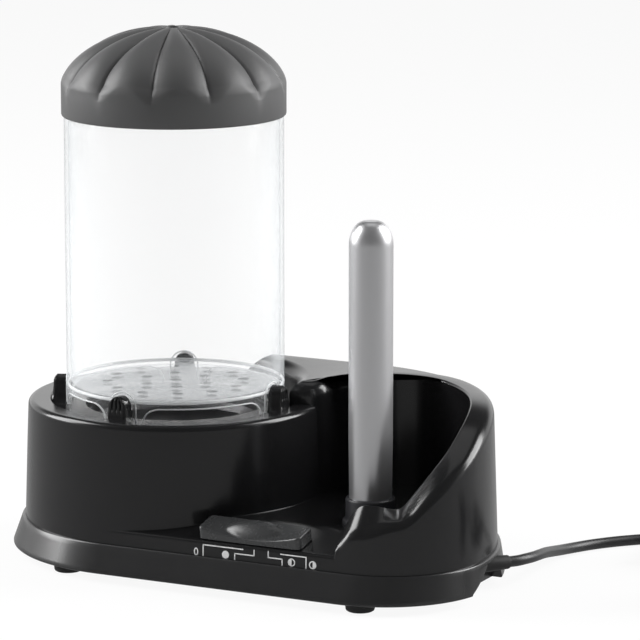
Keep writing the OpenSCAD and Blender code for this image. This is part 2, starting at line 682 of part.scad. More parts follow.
// Slide switch: cap on the panel, slider through the slot, body under the panel
cap_lift = 0.3;
cap_edge = 2.5;
switch_drop = 2;
switch_l = 46;
switch_w = 13;
switch_h = 8;
post_screw_r = 1.1;
switch_posts = [slot_dx - switch_l / 2 - 4, slot_dx + switch_l / 2 + 4];
slider_w = slot_w - 0.8;
module switch_cap() {
    corner = cap_edge + 1.5;
    color("#4a4b4d") from_tower() on_panel(0) translate([0, 0, cap_lift]) difference() {
        union() {
            hull() for (x = [-1, 1]) for (y = [-1, 1])
                translate([x * (cap_l / 2 - corner), y * (cap_w / 2 - corner), 0]) {
                    cylinder(r = corner, h = cap_h - cap_edge, $fn = 32);
                    translate([0, 0, cap_h - cap_edge]) sphere(r = cap_edge, $fn = 32);
                }
            // Raised thumb grip, pointed at both ends
            translate([0, 0, cap_h - cap_edge]) intersection_for(s = [-1, 1])
                translate([0, s * grip_offset, 0]) cylinder(r = grip_r, h = cap_edge + 1.6);
        }
        translate([-stem_l / 2 - 0.1, -slider_w / 2 - 0.1, -1])
            cube([stem_l + 0.2, slider_w + 0.2, cap_h / 2 + 1]);
    }
}
grip_l = 34;
grip_w = 11;
grip_r = (grip_l * grip_l + grip_w * grip_w) / (4 * grip_w);
grip_offset = grip_r - grip_w / 2;
body_top = -shell_t - switch_drop;
module switch_slider() {
    color("#2b2b2d") from_tower() on_panel(0) translate([-stem_l / 2, -slider_w / 2, body_top - 3])
        cube([stem_l, slider_w, 3 - body_top + cap_lift + cap_h / 2 - 0.1]);
}
module switch_body() {
    color("#3a3a3c") from_tower() on_panel(slot_dx) translate([0, 0, body_top - switch_h]) difference() {
        union() {
            translate([-switch_l / 2, -switch_w / 2, 0]) cube([switch_l, switch_w, switch_h]);
            for (s = [-1, 1]) translate([s * (switch_l / 2 + 3), 0, switch_h - 1.5]) {
                translate([-5, -4, 0]) cube([10, 8, 1.5]);
            }
            for (x = [-12, -4, 4, 12]) translate([x - 1.4, -0.4, -5]) cube([2.8, 0.8, 5.2]);
        }
        translate([-slot_l / 2, -slot_w / 2, switch_h - 3.6]) cube([slot_l, slot_w, 10]);
        for (s = [-1, 1]) translate([s * (switch_l / 2 + 4), 0, -20])
            cylinder(r = post_screw_r + 0.2, h = 40);
    }
}
module switch_screws() {
    color("#9a9da1") from_tower() for (x = switch_posts) on_panel(x)
        translate([0, 0, body_top - 1.5 - 1.8]) {
            cylinder(r = 2.2, h = 1.8);
            cylinder(r = post_screw_r, h = 1.8 + 1.5 + switch_drop - 0.8);
        }
}

// Where the lead is clamped and joined inside the base
block_l = 26;
block_w = 12;
block_h = 12;
block_r = tower_r(skirt_z) - shell_t - 1.2;
block_c = block_r * [cos(44.5), sin(44.5)] - [block_l, block_w] / 2;
module terminal_block() {
    color("#e9e6dc") from_tower() translate([block_c.x - block_l / 2, block_c.y - block_w / 2, plate_z + 2])
        difference() {
            cube([block_l, block_w, block_h]);
            for (i = [0:2]) translate([block_l * (i + 0.5) / 3, block_w / 2, block_h - 3])
                cylinder(r = 2, h = 5);
            for (i = [0:2]) translate([block_l * (i + 0.5) / 3, -1, block_h / 2]) rotate([-90, 0, 0])
                cylinder(r = 1.6, h = block_w + 2);
        }
}
clamp_l = 8;
clamp_w = 18;
clamp_screw_y = 4;
clamp_back = 9;
clamp_c = [gland_end.x, gland_end.y] - (gland_l + clamp_back) * [gland_dir.x, gland_dir.y];
clamp_seat_h = gland_end.z - cord_d / 2 - plate_z;
clamp_t = 3;
stub_l = clamp_back + clamp_l / 2 + 3;
module cord_clamp() {
    color("#2a2a2c") from_tower() translate([clamp_c.x, clamp_c.y, gland_end.z]) rotate(gland_a)
        translate([-clamp_l / 2, -clamp_w / 2, 0]) difference() {
            translate([0, 0, -cord_d / 2]) cube([clamp_l, clamp_w, cord_d + clamp_t]);
            translate([-1, clamp_w / 2 - cord_d / 2 - 0.1, -cord_d])
                cube([clamp_l + 2, cord_d + 0.2, 1.5 * cord_d + 0.1]);
            for (y = [clamp_screw_y, clamp_w - clamp_screw_y]) translate([clamp_l / 2, y, -20])
                cylinder(r = 1.4, h = 20 + 2 * clamp_w);
        }
}
module clamp_screws() {
    color("#9a9da1") from_tower() translate([clamp_c.x, clamp_c.y, gland_end.z + cord_d / 2 + clamp_t])
        rotate(gland_a) for (s = [-1, 1]) translate([0, s * (clamp_w / 2 - clamp_screw_y), 0]) {
            cylinder(r = 2.3, h = 2);
            translate([0, 0, -cord_d - clamp_t - 1]) cylinder(r = 1.2, h = cord_d + clamp_t + 2);
        }
}

// A round tube along points, with the ends square to given directions
function unit(v) = v / norm(v);
function along(path, i, first, last) =
    i == 0 ? first : i == len(path) - 1 ? last : unit(path[i + 1] - path[i - 1]);
function ring_at(p, dir, r, sides) =
    let (side = unit(cross(dir, abs(dir.z) > 0.9 ? [1, 0, 0] : [0, 0, 1])), up = cross(side, dir))
    [for (k = [0:sides - 1]) let (a = 360 * (k + 0.5) / sides) p + r * (cos(a) * side + sin(a) * up)];
module swept(path, r, sides, first, last) {
    loft([for (i = [0:len(path) - 1]) ring_at(path[i], along(path, i, first, last), r, sides)]);
}

// Inner leads, from the terminal block to the heating tube and to the spike's heater
lead_r = 1.1;
module lead(points) {
    n = len(points) - 1;
    swept(points, lead_r, 8, unit(points[1] - points[0]), unit(points[n] - points[n - 1]));
}
block_top_y = block_c.y - block_w / 2;
module heater_leads() {
    color("#c8ccd2") from_tower() for (i = [0, 1]) let (
        x = block_c.x - block_l / 2 + block_l * (i + 0.5) / 3,
        z = plate_z + 2 + block_h / 2,
        end_a = (i == 0 ? 1 : -1) * tube_gap_a / 2,
        end = tube_c * [cos(end_a), sin(end_a)])
        lead([[x, block_top_y + 4, z], [x, block_top_y - 4, z], [x, block_top_y - 10 - 4 * i, z + 4],
            [end.x + 4 * i, end.y + 6 - 3 * i, heat_plate_z - 24], [end.x, end.y - 1, heat_plate_z - 10],
            [end.x, end.y - (i == 0 ? 4 : -4), heat_plate_z - 1.2 - lead_r]]);
}
module spike_leads() {
    color("#b04a3c") from_tower() let (
        x = block_c.x - block_l / 2 + block_l * 2.5 / 3,
        z = plate_z + 2 + block_h / 2)
        lead([[x, block_top_y + 4, z], [x, block_top_y - 5, z], [x + 6, block_top_y - 12, z],
            [spike_dx - 24, -spike_dy + 18, z], [spike_dx - 10, -spike_dy + 6, stud_foot_z - lead_r - 1],
            [spike_dx, -spike_dy, stud_foot_z - lead_r - 0.1]]);
}

// Rubber feet with a stem that snaps into the plate
foot_stem_r = 2.6;
module rubber_feet() {
    color("#151515") from_tower() for (p = feet) translate([p.x, p.y, 0]) {
        rotate_extrude() polygon([[0, 0], [foot_d / 2 - 1.2, 0], [foot_d / 2 - 0.3, 1], [foot_d / 2, foot_h],
            [0, foot_h]]);
        translate([0, 0, foot_h - eps]) cylinder(r = foot_stem_r, h = plate_t + 1);
    }
}
module base_screws() {
    color("#8f9296") from_tower() for (p = plate_screws) translate([p.x, p.y, foot_h - 2]) {
        cylinder(r = screw_head_r, h = 2);
        cylinder(r = screw_r, h = 2 + plate_t + 10);
    }
}

// Clear container: wall, floor with steam holes, and a skirt that arches between four legs
jar_r = jar_d / 2;
jar_z = deck_floor_z + 0.2;
jar_top_z = jar_z + jar_h;
arch_h = jar_floor_h - 4;
floor_t = 2.2;
module container() {
    leg_a = 2 * asin(leg_w / 2 / jar_r);
    color("#dfe8ee", 0.35) from_tower() difference() {
        union() {
            translate([0, 0, jar_z]) difference() {
                cylinder(r = jar_r, h = jar_h, $fn = 128);
                translate([0, 0, -1]) cylinder(r = jar_r - jar_t, h = jar_h + 2, $fn = 128);
            }
            translate([0, 0, jar_z + jar_floor_h - floor_t])
                cylinder(r = jar_r - jar_t + eps, h = floor_t, $fn = 128);
        }
        // Arches between the legs
        for (i = [0:3]) let (a = lug_angles[i], next = i < 3 ? lug_angles[i + 1] : 360)
            rotate(a + leg_a / 2) translate([0, 0, jar_z - 1])
                rotate_extrude(angle = next - a - leg_a) translate([jar_r - 2 * jar_t, 0])
                    square([4 * jar_t, arch_h + 1]);
        // Steam holes
        translate([0, 0, jar_z]) cylinder(d = steam_d, h = 2 * jar_floor_h);
        for (ring = [1, 2]) for (i = [0:6 * ring - 1]) rotate(i * 60 / ring)
            translate([ring * jar_r / 3.2, 0, jar_z]) cylinder(d = steam_d, h = 2 * jar_floor_h);
    }
}

// Lid: an upright band under a dome of rounded lobes, with sharp creases that end at the band
lid_r = (jar_d + lid_over) / 2;
lid_z = jar_top_z - lid_overlap;
lid_band_z = lid_z + lid_band_h;
lid_top_z = lid_band_z + lid_dome_h;
vent_r = vent_d / 2;
lid_seat_z = jar_top_z + 0.2;
lobe_steps = 6;
lid_rings = 10;
lid_turn = -12.8;
// Height and slope of the smooth dome over its radius
function dome(r) = lid_dome_h * pow(1 - pow(r / lid_r, 2.2), 0.62);
function dome_slope(r) = let (q = r / lid_r)
    -1.364 * lid_dome_h / lid_r * pow(q, 1.2) * pow(1 - pow(q, 2.2), -0.38);
function dome_normal(r) = r > lid_r - eps ? [1, 0] : unit([-dome_slope(r), 1]);
// The creases start outside the steam hole, grow towards the shoulder and end in points just below the dome
function crease_start(r) = smooth(max(0, min(1, (r - 1.8 * vent_r) / (8 * vent_r))));
crease_low = 4;
function crease_end(z) = max(0, min(1, (z - lid_band_z + crease_low) / 9));
function valley(a, width) = pow(max(0, 1 - abs(sin(a * lid_lobes / 2)) / width), 1.3);
function lid_ring(r, z, normal = [0, 1], creased = false) =
    let (end = crease_end(z), depth = creased ? crease_d * crease_start(r) * end : 0)
    [for (i = [0:lid_lobes * lobe_steps - 1])
        let (a = 360 * i / (lid_lobes * lobe_steps), d = depth * valley(a, 0.4 + 0.6 * end))
        [(r - d * normal[0]) * cos(a), (r - d * normal[0]) * sin(a), z - d * normal[1]]];
module lid() {
    bore_r = jar_r + fit;
    seat_r = jar_r - jar_t - 2;
    outer = [for (i = [1:lid_rings]) let (r = vent_r + (lid_r - vent_r) * sin(90 * i / lid_rings))
        lid_ring(r, lid_band_z + dome(r), dome_normal(r), true)];
    inner = [for (i = [lid_rings - 1:-1:1]) let (r = vent_r + (seat_r - vent_r) * sin(90 * i / lid_rings))
        lid_ring(r, lid_band_z + dome(r) - 1.4 * lid_t, dome_normal(r), true)];
    rings = concat(
        [lid_ring(vent_r, lid_top_z - 0.3)], outer,
        [lid_ring(lid_r, lid_band_z - crease_low / 2, [1, 0], true), lid_ring(lid_r, lid_band_z - crease_low),
            lid_ring(lid_r, lid_z + 0.8), lid_ring(lid_r - 0.5, lid_z),
            lid_ring(bore_r, lid_z), lid_ring(bore_r, lid_seat_z), lid_ring(seat_r, lid_seat_z)],
        inner, [lid_ring(vent_r, lid_top_z - 1.4 * lid_t)]);
    n = lid_lobes * lobe_steps;
    m = len(rings);
    color("#6d6e70") from_tower() rotate(lid_turn) polyhedron([for (r = rings) for (p = r) p],
        [for (k = [0:m - 1]) for (i = [0:n - 1]) let (j = (i + 1) % n, q = (k + 1) % m)
            each [[k * n + i, q * n + j, q * n + i], [k * n + i, k * n + j, q * n + j]]]);
}

// Mains lead: gland in the notch, the stretch on the table, the coil with its tie, the tail and the plug
gland_r = 4.2;
gland_flange_r = 4.7;
gland_tip_r = 3.5;
module cord_gland() {
    color("#222224") from_tower() translate(gland_end) rotate([0, 90, gland_a])
        translate([0, 0, -gland_l]) difference() {
            union() {
                cylinder(r1 = gland_r, r2 = gland_tip_r, h = gland_l);
                cylinder(r = gland_flange_r, h = 3);
            }
            translate([0, 0, -1]) cylinder(d = cord_d + 0.2, h = gland_l + 2);
        }
}

coil_c = [gland_end.x + 76, gland_end.y + 100];
coil_z = cord_d / 2 + 1.2;
coil_step = cord_d + coil_gap;
coil_out_r = coil_r + coil_step * coil_turns / 4;
coil_start_a = 120;
layer_h = cord_d + coil_gap;
// Radius and height of the coil at a count of turns: in, up a layer and out again
function coil_radius(t) = coil_out_r - coil_step * (coil_turns / 2 - abs(t - coil_turns / 2));
function coil_height(t) = coil_z + layer_h * smooth(min(1, max(0, 2 * (t - coil_turns / 2) + 0.5)));
function coil_point(t) = let (a = coil_start_a - 360 * t)
    [coil_c.x + coil_radius(t) * cos(a), coil_c.y + coil_radius(t) * sin(a), coil_height(t)];
loop_rings = 24;
coil_steps = ceil(coil_turns * loop_rings);
coil_in = [cos(coil_start_a - 90), sin(coil_start_a - 90), 0];
coil_end_a = coil_start_a - 360 * coil_turns;
coil_out = [cos(coil_end_a - 90), sin(coil_end_a - 90), 0];
coil_start = coil_point(0);
coil_end = coil_point(coil_turns);
coil_path = concat([coil_start - cord_d * coil_in],
    [for (i = [0:coil_steps]) coil_point(coil_turns * i / coil_steps)], [coil_end + cord_d * coil_out]);
coil_gaps = [for (i = [0:len(coil_path) - 1]) for (j = [i + loop_rings / 2:1:len(coil_path) - 1])
    norm(coil_path[i] - coil_path[j]) - cord_d];
echo(least_coil_gap = min(coil_gaps));

// The lead's route on the table, chosen by eye: it leaves the gland, sinks to the table and runs back.
// Each place counts from the gland, its height as a share of the gland's.
cord_start = gland_end - (gland_l + stub_l) * gland_dir;
lead_z = cord_d / 2 + 0.15;
lead_route = [[3, 4, 1], [5, 9, 1], [6, 16, 0.95], [5.5, 25, 0.85], [3.5, 38, 0.65], [2, 51, 0.41],
    [1.5, 64, 0.19], [3.5, 77, 0.05], [9, 89.5, 0], [18, 101, 0], [29, 112, 0], [40, 120.5, 0.04]];
lead_points = concat(
    [cord_start, gland_end],
    [for (p = lead_route) [gland_end.x + p[0], gland_end.y + p[1], lead_z + (gland_end.z - lead_z) * p[2]]],
    [coil_start - 9 * coil_in, coil_start - cord_d * coil_in]);
module cord_lead() {
    color("#1b1b1c") from_tower() swept(lead_points, cord_d / 2, 10, gland_dir, coil_in);
}
module cord_coil() {
    color("#1b1b1c") from_tower() swept(coil_path, cord_d / 2, 6, coil_in, coil_out);
}
tie_a = 215;
tie_w = 7;
tie_t = 0.8;
module cord_tie() {
    slack = 0.4;
    low_r = coil_radius(coil_turns / 2) - cord_d / 2 - slack;
    high_r = coil_out_r + cord_d / 2 + slack;
    low_z = coil_z - cord_d / 2 - slack;
    high_z = coil_z + layer_h + cord_d / 2 + slack;
    color("#2c2c2e") from_tower() translate([coil_c.x, coil_c.y, 0]) rotate(tie_a)
        translate([0, tie_w / 2, 0]) rotate([90, 0, 0]) linear_extrude(tie_w) difference() {
            translate([low_r - tie_t, max(0.1, low_z - tie_t)])
                square([high_r - low_r + 2 * tie_t, high_z - low_z + 2 * tie_t]);
            translate([low_r, low_z]) square([high_r - low_r, high_z - low_z]);
        }
}
plug_r = 18;
plug_rear = [coil_end.x, coil_end.y - 44, plug_r + 0.3];
plug_l = 40;
tail_points = [coil_end + cord_d * coil_out, coil_end - [0, 12, 0], coil_end + [0, -20, 2],
    plug_rear + [0, 16, -3], plug_rear + [0, 8, -0.4], plug_rear];
module cord_tail() {
    color("#1b1b1c") from_tower() swept(tail_points, cord_d / 2, 10, coil_out, [0, -1, 0]);
}
module at_plug() { from_tower() translate(plug_rear) rotate([90, 0, 0]) children(); }
module plug_body() {
    color("#1d1d1f") at_plug() difference() {
        rotate_extrude($fn = 72) polygon([[0, 0], [cord_d / 2 + 1.2, 0], [6, 14], [12, 19], [plug_r - 1, 23],
            [plug_r, 25], [plug_r, plug_l - 1], [plug_r - 1, plug_l], [0, plug_l]]);
        for (s = [-1, 1]) translate([s * pin_gap / 2, 0, plug_l - pin_root])
            cylinder(r = pin_r + 0.05, h = 20);
        for (s = [-1, 1]) translate([-3, s * plug_r - 3, plug_l - 12]) cube([6, 6, 20]);
    }
}
pin_r = 2.4;
pin_gap = 19;
pin_l = 19;
pin_root = 8;
module plug_pins() {
    color("#c9cbce") at_plug() for (s = [-1, 1]) translate([s * pin_gap / 2, 0, plug_l - pin_root]) {
        cylinder(r = pin_r, h = pin_root + pin_l - 1.5);
        translate([0, 0, pin_root + pin_l - 1.5]) cylinder(r1 = pin_r, r2 = pin_r - 1, h = 1.5);
    }
}

upper_housing();
bottom_shell();
container_lugs();
water_dish();
dish_seal();
dish_clamp();
dish_screws();
heat_plate();
heating_tube();
thermostat();
thermal_fuse();
spike();
spike_collar();
spike_heater();
spike_insulator();
spike_nut();
switch_cap();
switch_slider();
switch_body();
switch_screws();
terminal_block();
cord_clamp();
clamp_screws();
heater_leads();
spike_leads();
rubber_feet();
base_screws();
container();
lid();
cord_gland();
cord_lead();
cord_coil();
cord_tail();
cord_tie();
plug_body();
plug_pins();
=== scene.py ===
"""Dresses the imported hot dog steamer: studio, mains lead, housing, container, lid, spike and switch."""
import logging
import math
from dataclasses import dataclass, field
from enum import Enum
from typing import Iterable, Sequence, Union

import bmesh
import bpy
from mathutils import Matrix, Vector


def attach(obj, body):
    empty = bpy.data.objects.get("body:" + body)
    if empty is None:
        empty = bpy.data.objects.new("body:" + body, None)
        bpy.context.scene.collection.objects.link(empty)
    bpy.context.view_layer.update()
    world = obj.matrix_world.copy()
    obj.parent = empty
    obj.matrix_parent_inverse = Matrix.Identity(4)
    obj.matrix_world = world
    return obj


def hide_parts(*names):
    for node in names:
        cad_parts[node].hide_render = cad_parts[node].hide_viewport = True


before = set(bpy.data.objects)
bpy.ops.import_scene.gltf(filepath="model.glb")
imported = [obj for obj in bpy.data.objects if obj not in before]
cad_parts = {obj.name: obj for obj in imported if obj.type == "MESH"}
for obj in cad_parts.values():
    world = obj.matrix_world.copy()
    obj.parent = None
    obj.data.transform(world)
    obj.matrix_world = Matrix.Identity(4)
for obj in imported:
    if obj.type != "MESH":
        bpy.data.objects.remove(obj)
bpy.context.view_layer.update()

LOG = logging.getLogger("steamer")
MM = 0.001
WHITE = (1, 1, 1, 1)
Shape = bmesh.types.BMesh
Point = Sequence[float]
Pair = tuple[float, float]
Triple = tuple[float, float, float]
Pairs = tuple[Pair, ...]
Triples = tuple[Triple, ...]
Colour = Triple


class Body(Enum):
    """The bodies that pieces ride on."""

    BASE = "base"
    CONTAINER = "container"
    LID = "lid"
    SWITCH = "switch"


class Ray(Enum):
    """Light Path outputs that decide what the background shows."""

    CAMERA = "Is Camera Ray"
    GLOSSY = "Is Glossy Ray"
    THROUGH = "Is Transmission Ray"


class Sock:
    """A shader socket that takes part in Python expressions."""

    def __init__(self, graph: "Graph", socket: bpy.types.NodeSocket) -> None:
        """Wraps a node's output socket.

        Args:
            graph: the node tree that new Math nodes go into.
            socket: the output socket to wrap.
        """
        self.graph = graph
        self.socket = socket

    def _math(self, operation: str, *values: "Value") -> "Sock":
        """Adds one Math node.

        Args:
            operation: the node's operation.
            values: its inputs in order.

        Returns:
            The node's result.
        """
        inputs = dict(enumerate(values))
        return self.graph.node("ShaderNodeMath", {"operation": operation}, inputs)

    def __add__(self, other: "Value") -> "Sock":
        """Sum."""
        return self._math("ADD", self, other)

    def __radd__(self, other: "Value") -> "Sock":
        """Sum, the other way round."""
        return self._math("ADD", other, self)

    def __sub__(self, other: "Value") -> "Sock":
        """Difference."""
        return self._math("SUBTRACT", self, other)

    def __rsub__(self, other: "Value") -> "Sock":
        """Difference, the other way round."""
        return self._math("SUBTRACT", other, self)

    def __mul__(self, other: "Value") -> "Sock":
        """Product."""
        return self._math("MULTIPLY", self, other)

    def __rmul__(self, other: "Value") -> "Sock":
        """Product, the other way round."""
        return self._math("MULTIPLY", other, self)

    def __pow__(self, other: "Value") -> "Sock":
        """Power."""
        return self._math("POWER", self, other)

    def most(self, other: "Value") -> "Sock":
        """The larger of two values."""
        return self._math("MAXIMUM", self, other)

    def between(self, low: float, high: float) -> "Sock":
        """A smooth step from 0 at low to 1 at high."""
        return self.graph.node("ShaderNodeMapRange", {"interpolation_type": "SMOOTHSTEP"},
                               {"Value": self, "From Min": low, "From Max": high})


Value = Union[Sock, float, Sequence[float]]


class Graph:
    """One node tree with a single way to add nodes."""

    def __init__(self, tree: bpy.types.NodeTree) -> None:
        """Empties the tree.

        Args:
            tree: a material's or the world's node tree.
        """
        self.tree = tree
        tree.nodes.clear()

    def node(self, kind: str, settings: dict, inputs: dict, out: Union[int, str] = 0) -> Sock:
        """Adds a node.

        Args:
            kind: the node's type.
            settings: its properties, set before its sockets.
            inputs: values or links by socket name or index.
            out: the output that is wanted.

        Returns:
            That output.
        """
        made = self.tree.nodes.new(kind)
        for key, value in settings.items():
            setattr(made, key, value)
        for key, value in inputs.items():
            if isinstance(value, Sock):
                self.tree.links.new(value.socket, made.inputs[key])
            else:
                made.inputs[key].default_value = value
        return Sock(self, made.outputs[out]) if made.outputs else None

    def mix(self, share: Value, first: Value, second: Value) -> Sock:
        """Mixes two colours.

        Args:
            share: how much of the second colour shows.
            first: the colour at 0.
            second: the colour at 1.

        Returns:
            The mixed colour.
        """
        ends = [v if isinstance(v, Sock) else (*v, 1) for v in (first, second)]
        return self.node("ShaderNodeMix", {"data_type": "RGBA"}, {0: share, 6: ends[0], 7: ends[1]}, 2)

    def place(self, stretch: Point = (1, 1, 1)) -> Sock:
        """Object coordinates, stretched.

        Args:
            stretch: factor on each axis.

        Returns:
            The coordinates.
        """
        where = self.node("ShaderNodeTexCoord", {}, {}, "Object")
        return self.node("ShaderNodeVectorMath", {"operation": "MULTIPLY"}, {0: where, 1: stretch})

    def noise(self, where: Sock, scale: float, detail: float = 2.0, rough: float = 0.5) -> Sock:
        """A noise pattern from 0 to 1."""
        return self.node("ShaderNodeTexNoise", {},
                         {"Vector": where, "Scale": scale, "Detail": detail, "Roughness": rough})

    def bump(self, height: Sock, strength: float, depth_mm: float) -> Sock:
        """A bumped normal from a height pattern."""
        return self.node("ShaderNodeBump", {},
                         {"Height": height, "Strength": strength, "Distance": depth_mm * MM})

    def surface(self, **sockets: Value) -> None:
        """Ends the tree in one Principled shader.

        Args:
            sockets: its inputs, with _ for a space in their names.
        """
        named = {key.replace("_", " "): value for key, value in sockets.items()}
        shader = self.node("ShaderNodeBsdfPrincipled", {}, named)
        self.node("ShaderNodeOutputMaterial", {}, {"Surface": shader})


@dataclass(frozen=True)
class Finish:
    """What every finish shares: a name and a way to be made once."""

    name: str

    def material(self) -> bpy.types.Material:
        """The finish as a material, made on its first use."""
        known = bpy.data.materials.get(self.name)
        if known:
            return known
        made = bpy.data.materials.new(self.name)
        made.use_nodes = True
        self.paint(Graph(made.node_tree))
        return made

    def paint(self, graph: Graph) -> None:
        """Fills the material's nodes.

        Args:
            graph: the material's node tree.
        """
        raise NotImplementedError


@dataclass(frozen=True)
class Moulding(Finish):
    """Moulded plastic or rubber: a little mottling, fine grain and handling marks in the gloss."""

    colour: Colour
    roughness: float
    grain: float = 0.05
    grain_scale: float = 700.0
    specular: float = 0.5
    mottle: float = 0.12
    cloud_scale: float = 28.0
    smear_scale: float = 90.0
    grain_mm: float = 0.12

    def paint(self, graph: Graph) -> None:
        """Colour, gloss and grain from three noises."""
        where = graph.place()
        cloud = graph.noise(where, self.cloud_scale, 3.0)
        grain = graph.noise(where, self.grain_scale, 2.0, 0.6)
        smear = graph.noise(graph.place((1, 1, 0.35)), self.smear_scale, 4.0, 0.65)
        dark = tuple(c * (1 - self.mottle) for c in self.colour)
        light = tuple(c * (1 + self.mottle) + 0.001 for c in self.colour)
        gloss = self.roughness * 0.85 + (smear * 0.22 + grain * 0.08) * self.roughness
        graph.surface(Base_Color=graph.mix(cloud, dark, light), Roughness=gloss,
                      Specular_IOR_Level=self.specular, Normal=graph.bump(grain, self.grain, self.grain_mm))


@dataclass(frozen=True)
class ClearPlastic(Finish):
    """Clear plastic: see-through where it faces the eye; edge on it grows opaque, its pale colour showing as
    painted reflection, and darkens at the very edge as painted shade.
    """

    tint: Colour
    facing: float
    edge: float
    painted_shade_share: float = 0.8
    pale: Colour = (0.93, 0.95, 0.96)
    painted_shade_colour: Colour = (0.3, 0.32, 0.34)
    ripple_scale: float = 60.0
    speck_scale: float = 1500.0
    ior: float = 1.5

    def paint(self, graph: Graph) -> None:
        """Opacity grows towards the edges, where the pale colour shows as painted reflection and darkens as
        painted shade, with faint moulding ripples and specks.
        """
        ripple = graph.noise(graph.place((1, 1, 0.25)), self.ripple_scale, 2.0)
        speck = graph.noise(graph.place(), self.speck_scale, 1.0).between(0.72, 0.8)
        rim = graph.node("ShaderNodeLayerWeight", {}, {"Blend": 0.5}, "Facing")
        # Edge on, more opacity shows the pale colour as painted reflection, and the colour darkens towards a
        # dark tone as painted shade.
        alpha = self.facing + (rim ** 3.2) * self.edge + speck * 0.03
        shade = graph.mix(ripple, self.tint, self.pale)
        graph.surface(Base_Color=graph.mix((rim ** 5.0) * self.painted_shade_share, shade, self.painted_shade_colour),
                      Roughness=0.05 + ripple * 0.05, Alpha=alpha, IOR=self.ior,
                      Normal=graph.bump(ripple, 0.06, 0.4))


@dataclass(frozen=True)
class Metal(Finish):
    """Drawn, pressed or plated metal with fine streaks along one axis."""

    colour: Colour
    roughness: float
    stretch: Triple = (1.0, 1.0, 0.02)
    streak: float = 0.25
    stain: Colour = (0.32, 0.3, 0.28)
    stain_share: float = 0.15
    streak_scale: float = 2600.0
    band_scale: float = 420.0
    patch_scale: float = 55.0

    def paint(self, graph: Graph) -> None:
        """Streaks in gloss and height, and a slight stain in patches."""
        along = graph.place(self.stretch)
        streaks = graph.noise(along, self.streak_scale, 3.0, 0.6)
        bands = graph.noise(along, self.band_scale, 2.0)
        patch = graph.noise(graph.place(), self.patch_scale, 4.0).between(0.52, 0.78)
        shade = graph.mix(patch * self.stain_share, self.colour, self.stain)
        gloss = self.roughness * 0.75 + (streaks * 0.3 + bands * 0.3 + patch * 0.15) * self.roughness
        graph.surface(Base_Color=shade, Metallic=1.0, Roughness=gloss,
                      Normal=graph.bump(streaks, self.streak, 0.03))


@dataclass(frozen=True)
class Fired(Finish):
    """Unglazed ceramic or woven sleeve: matt, speckled and slightly uneven."""

    colour: Colour
    fleck: Colour
    weave: float = 1.0
    fleck_scale: float = 900.0
    body_scale: float = 120.0

    def paint(self, graph: Graph) -> None:
        """Specks over a matt ground."""
        fleck = graph.noise(graph.place((1, 1, self.weave)), self.fleck_scale, 3.0, 0.7)
        body = graph.noise(graph.place(), self.body_scale, 3.0)
        shade = graph.mix(fleck.between(0.5, 0.8), self.colour, self.fleck)
        graph.surface(Base_Color=shade, Roughness=0.62 + body * 0.2,
                      Normal=graph.bump(fleck, 0.3, 0.08))


# Mouldings: name, colour, roughness, grain, grain scale, specular, mottle.
HOUSING_BLACK = Moulding("housing_black_gloss", (0.0085, 0.0085, 0.009), 0.2, 0.012, 520.0, 0.42)
SKIRT_BLACK = Moulding("skirt_black_satin", (0.018, 0.018, 0.0185), 0.25, 0.008, 620.0, 0.5)
LID_GREY = Moulding("lid_grey_satin", (0.078, 0.078, 0.079), 0.48, 0.04, 800.0, 0.4, 0.05)
CAP_GREY = Moulding("cap_grey_satin", (0.04, 0.041, 0.042), 0.27, 0.04, 800.0, 0.5, 0.08)
COLLAR_BLACK = Moulding("collar_black", (0.005, 0.005, 0.005), 0.3, 0.03, 800.0, 0.14)
RUBBER = Moulding("foot_rubber", (0.014, 0.014, 0.014), 0.62, 0.2, 900.0, 0.35, 0.3)
CORD_JACKET = Moulding("cord_jacket", (0.02, 0.02, 0.021), 0.42, 0.12, 1100.0, 0.45, 0.2)
INNER_BLACK = Moulding("inner_black", (0.03, 0.03, 0.031), 0.5, 0.1, 900.0, 0.4, 0.2)
PLUG_BLACK = Moulding("plug_black", (0.016, 0.016, 0.017), 0.38, 0.1, 900.0, 0.4, 0.2)
TIE_GREY = Moulding("tie_grey", (0.05, 0.05, 0.052), 0.5, 0.15, 1300.0, 0.4, 0.2)
SEAL_BLACK = Moulding("seal_black", (0.03, 0.03, 0.031), 0.5, 0.1, 900.0, 0.4, 0.2)
INK = Moulding("mark_ink", (0.75, 0.75, 0.75), 0.45, 0.05, 1500.0, 0.3, 0.05)
# Clear plastics: name, tint, opacity facing the eye, more opacity edge on (painted reflection), share of the
# painted shade edge on.
CLEAR = ClearPlastic("container_clear", (0.86, 0.89, 0.91), 0.035, 0.7)
# A pale, mostly opaque finish for the beads: painted highlight along the container's edges.
CLEAR_EDGE_HIGHLIGHT = ClearPlastic("container_edge_painted_highlight", (0.94, 0.95, 0.96), 0.55, 0.4, 0.25)
# Metals: name, colour, roughness, stretch of the streaks, their strength, stain, share of the stain.
SPIKE_METAL = Metal("spike_metal", (0.34, 0.34, 0.35), 0.13)
# The dish's colour is darkened far below steel's own as painted shade for where it sits under the container;
# its stain is real.
DISH_STEEL_SHADED = Metal("dish_steel_painted_shade", (0.07, 0.07, 0.072), 0.38, (1, 1, 1), 0.12, (0.12, 0.115, 0.11),
                   0.3)
SCREW_STEEL = Metal("screw_steel", (0.55, 0.55, 0.55), 0.32, (1, 1, 0.2), 0.2)
HEATER_METAL = Metal("heater_metal", (0.5, 0.5, 0.51), 0.5, (1, 1, 1), 0.5)
TUBE_METAL = Metal("tube_metal", (0.2, 0.18, 0.16), 0.45, (1, 1, 1), 0.3, (0.1, 0.08, 0.08), 0.5)
PIN_METAL = Metal("pin_metal", (0.72, 0.71, 0.68), 0.22, (1, 0.03, 1), 0.2)
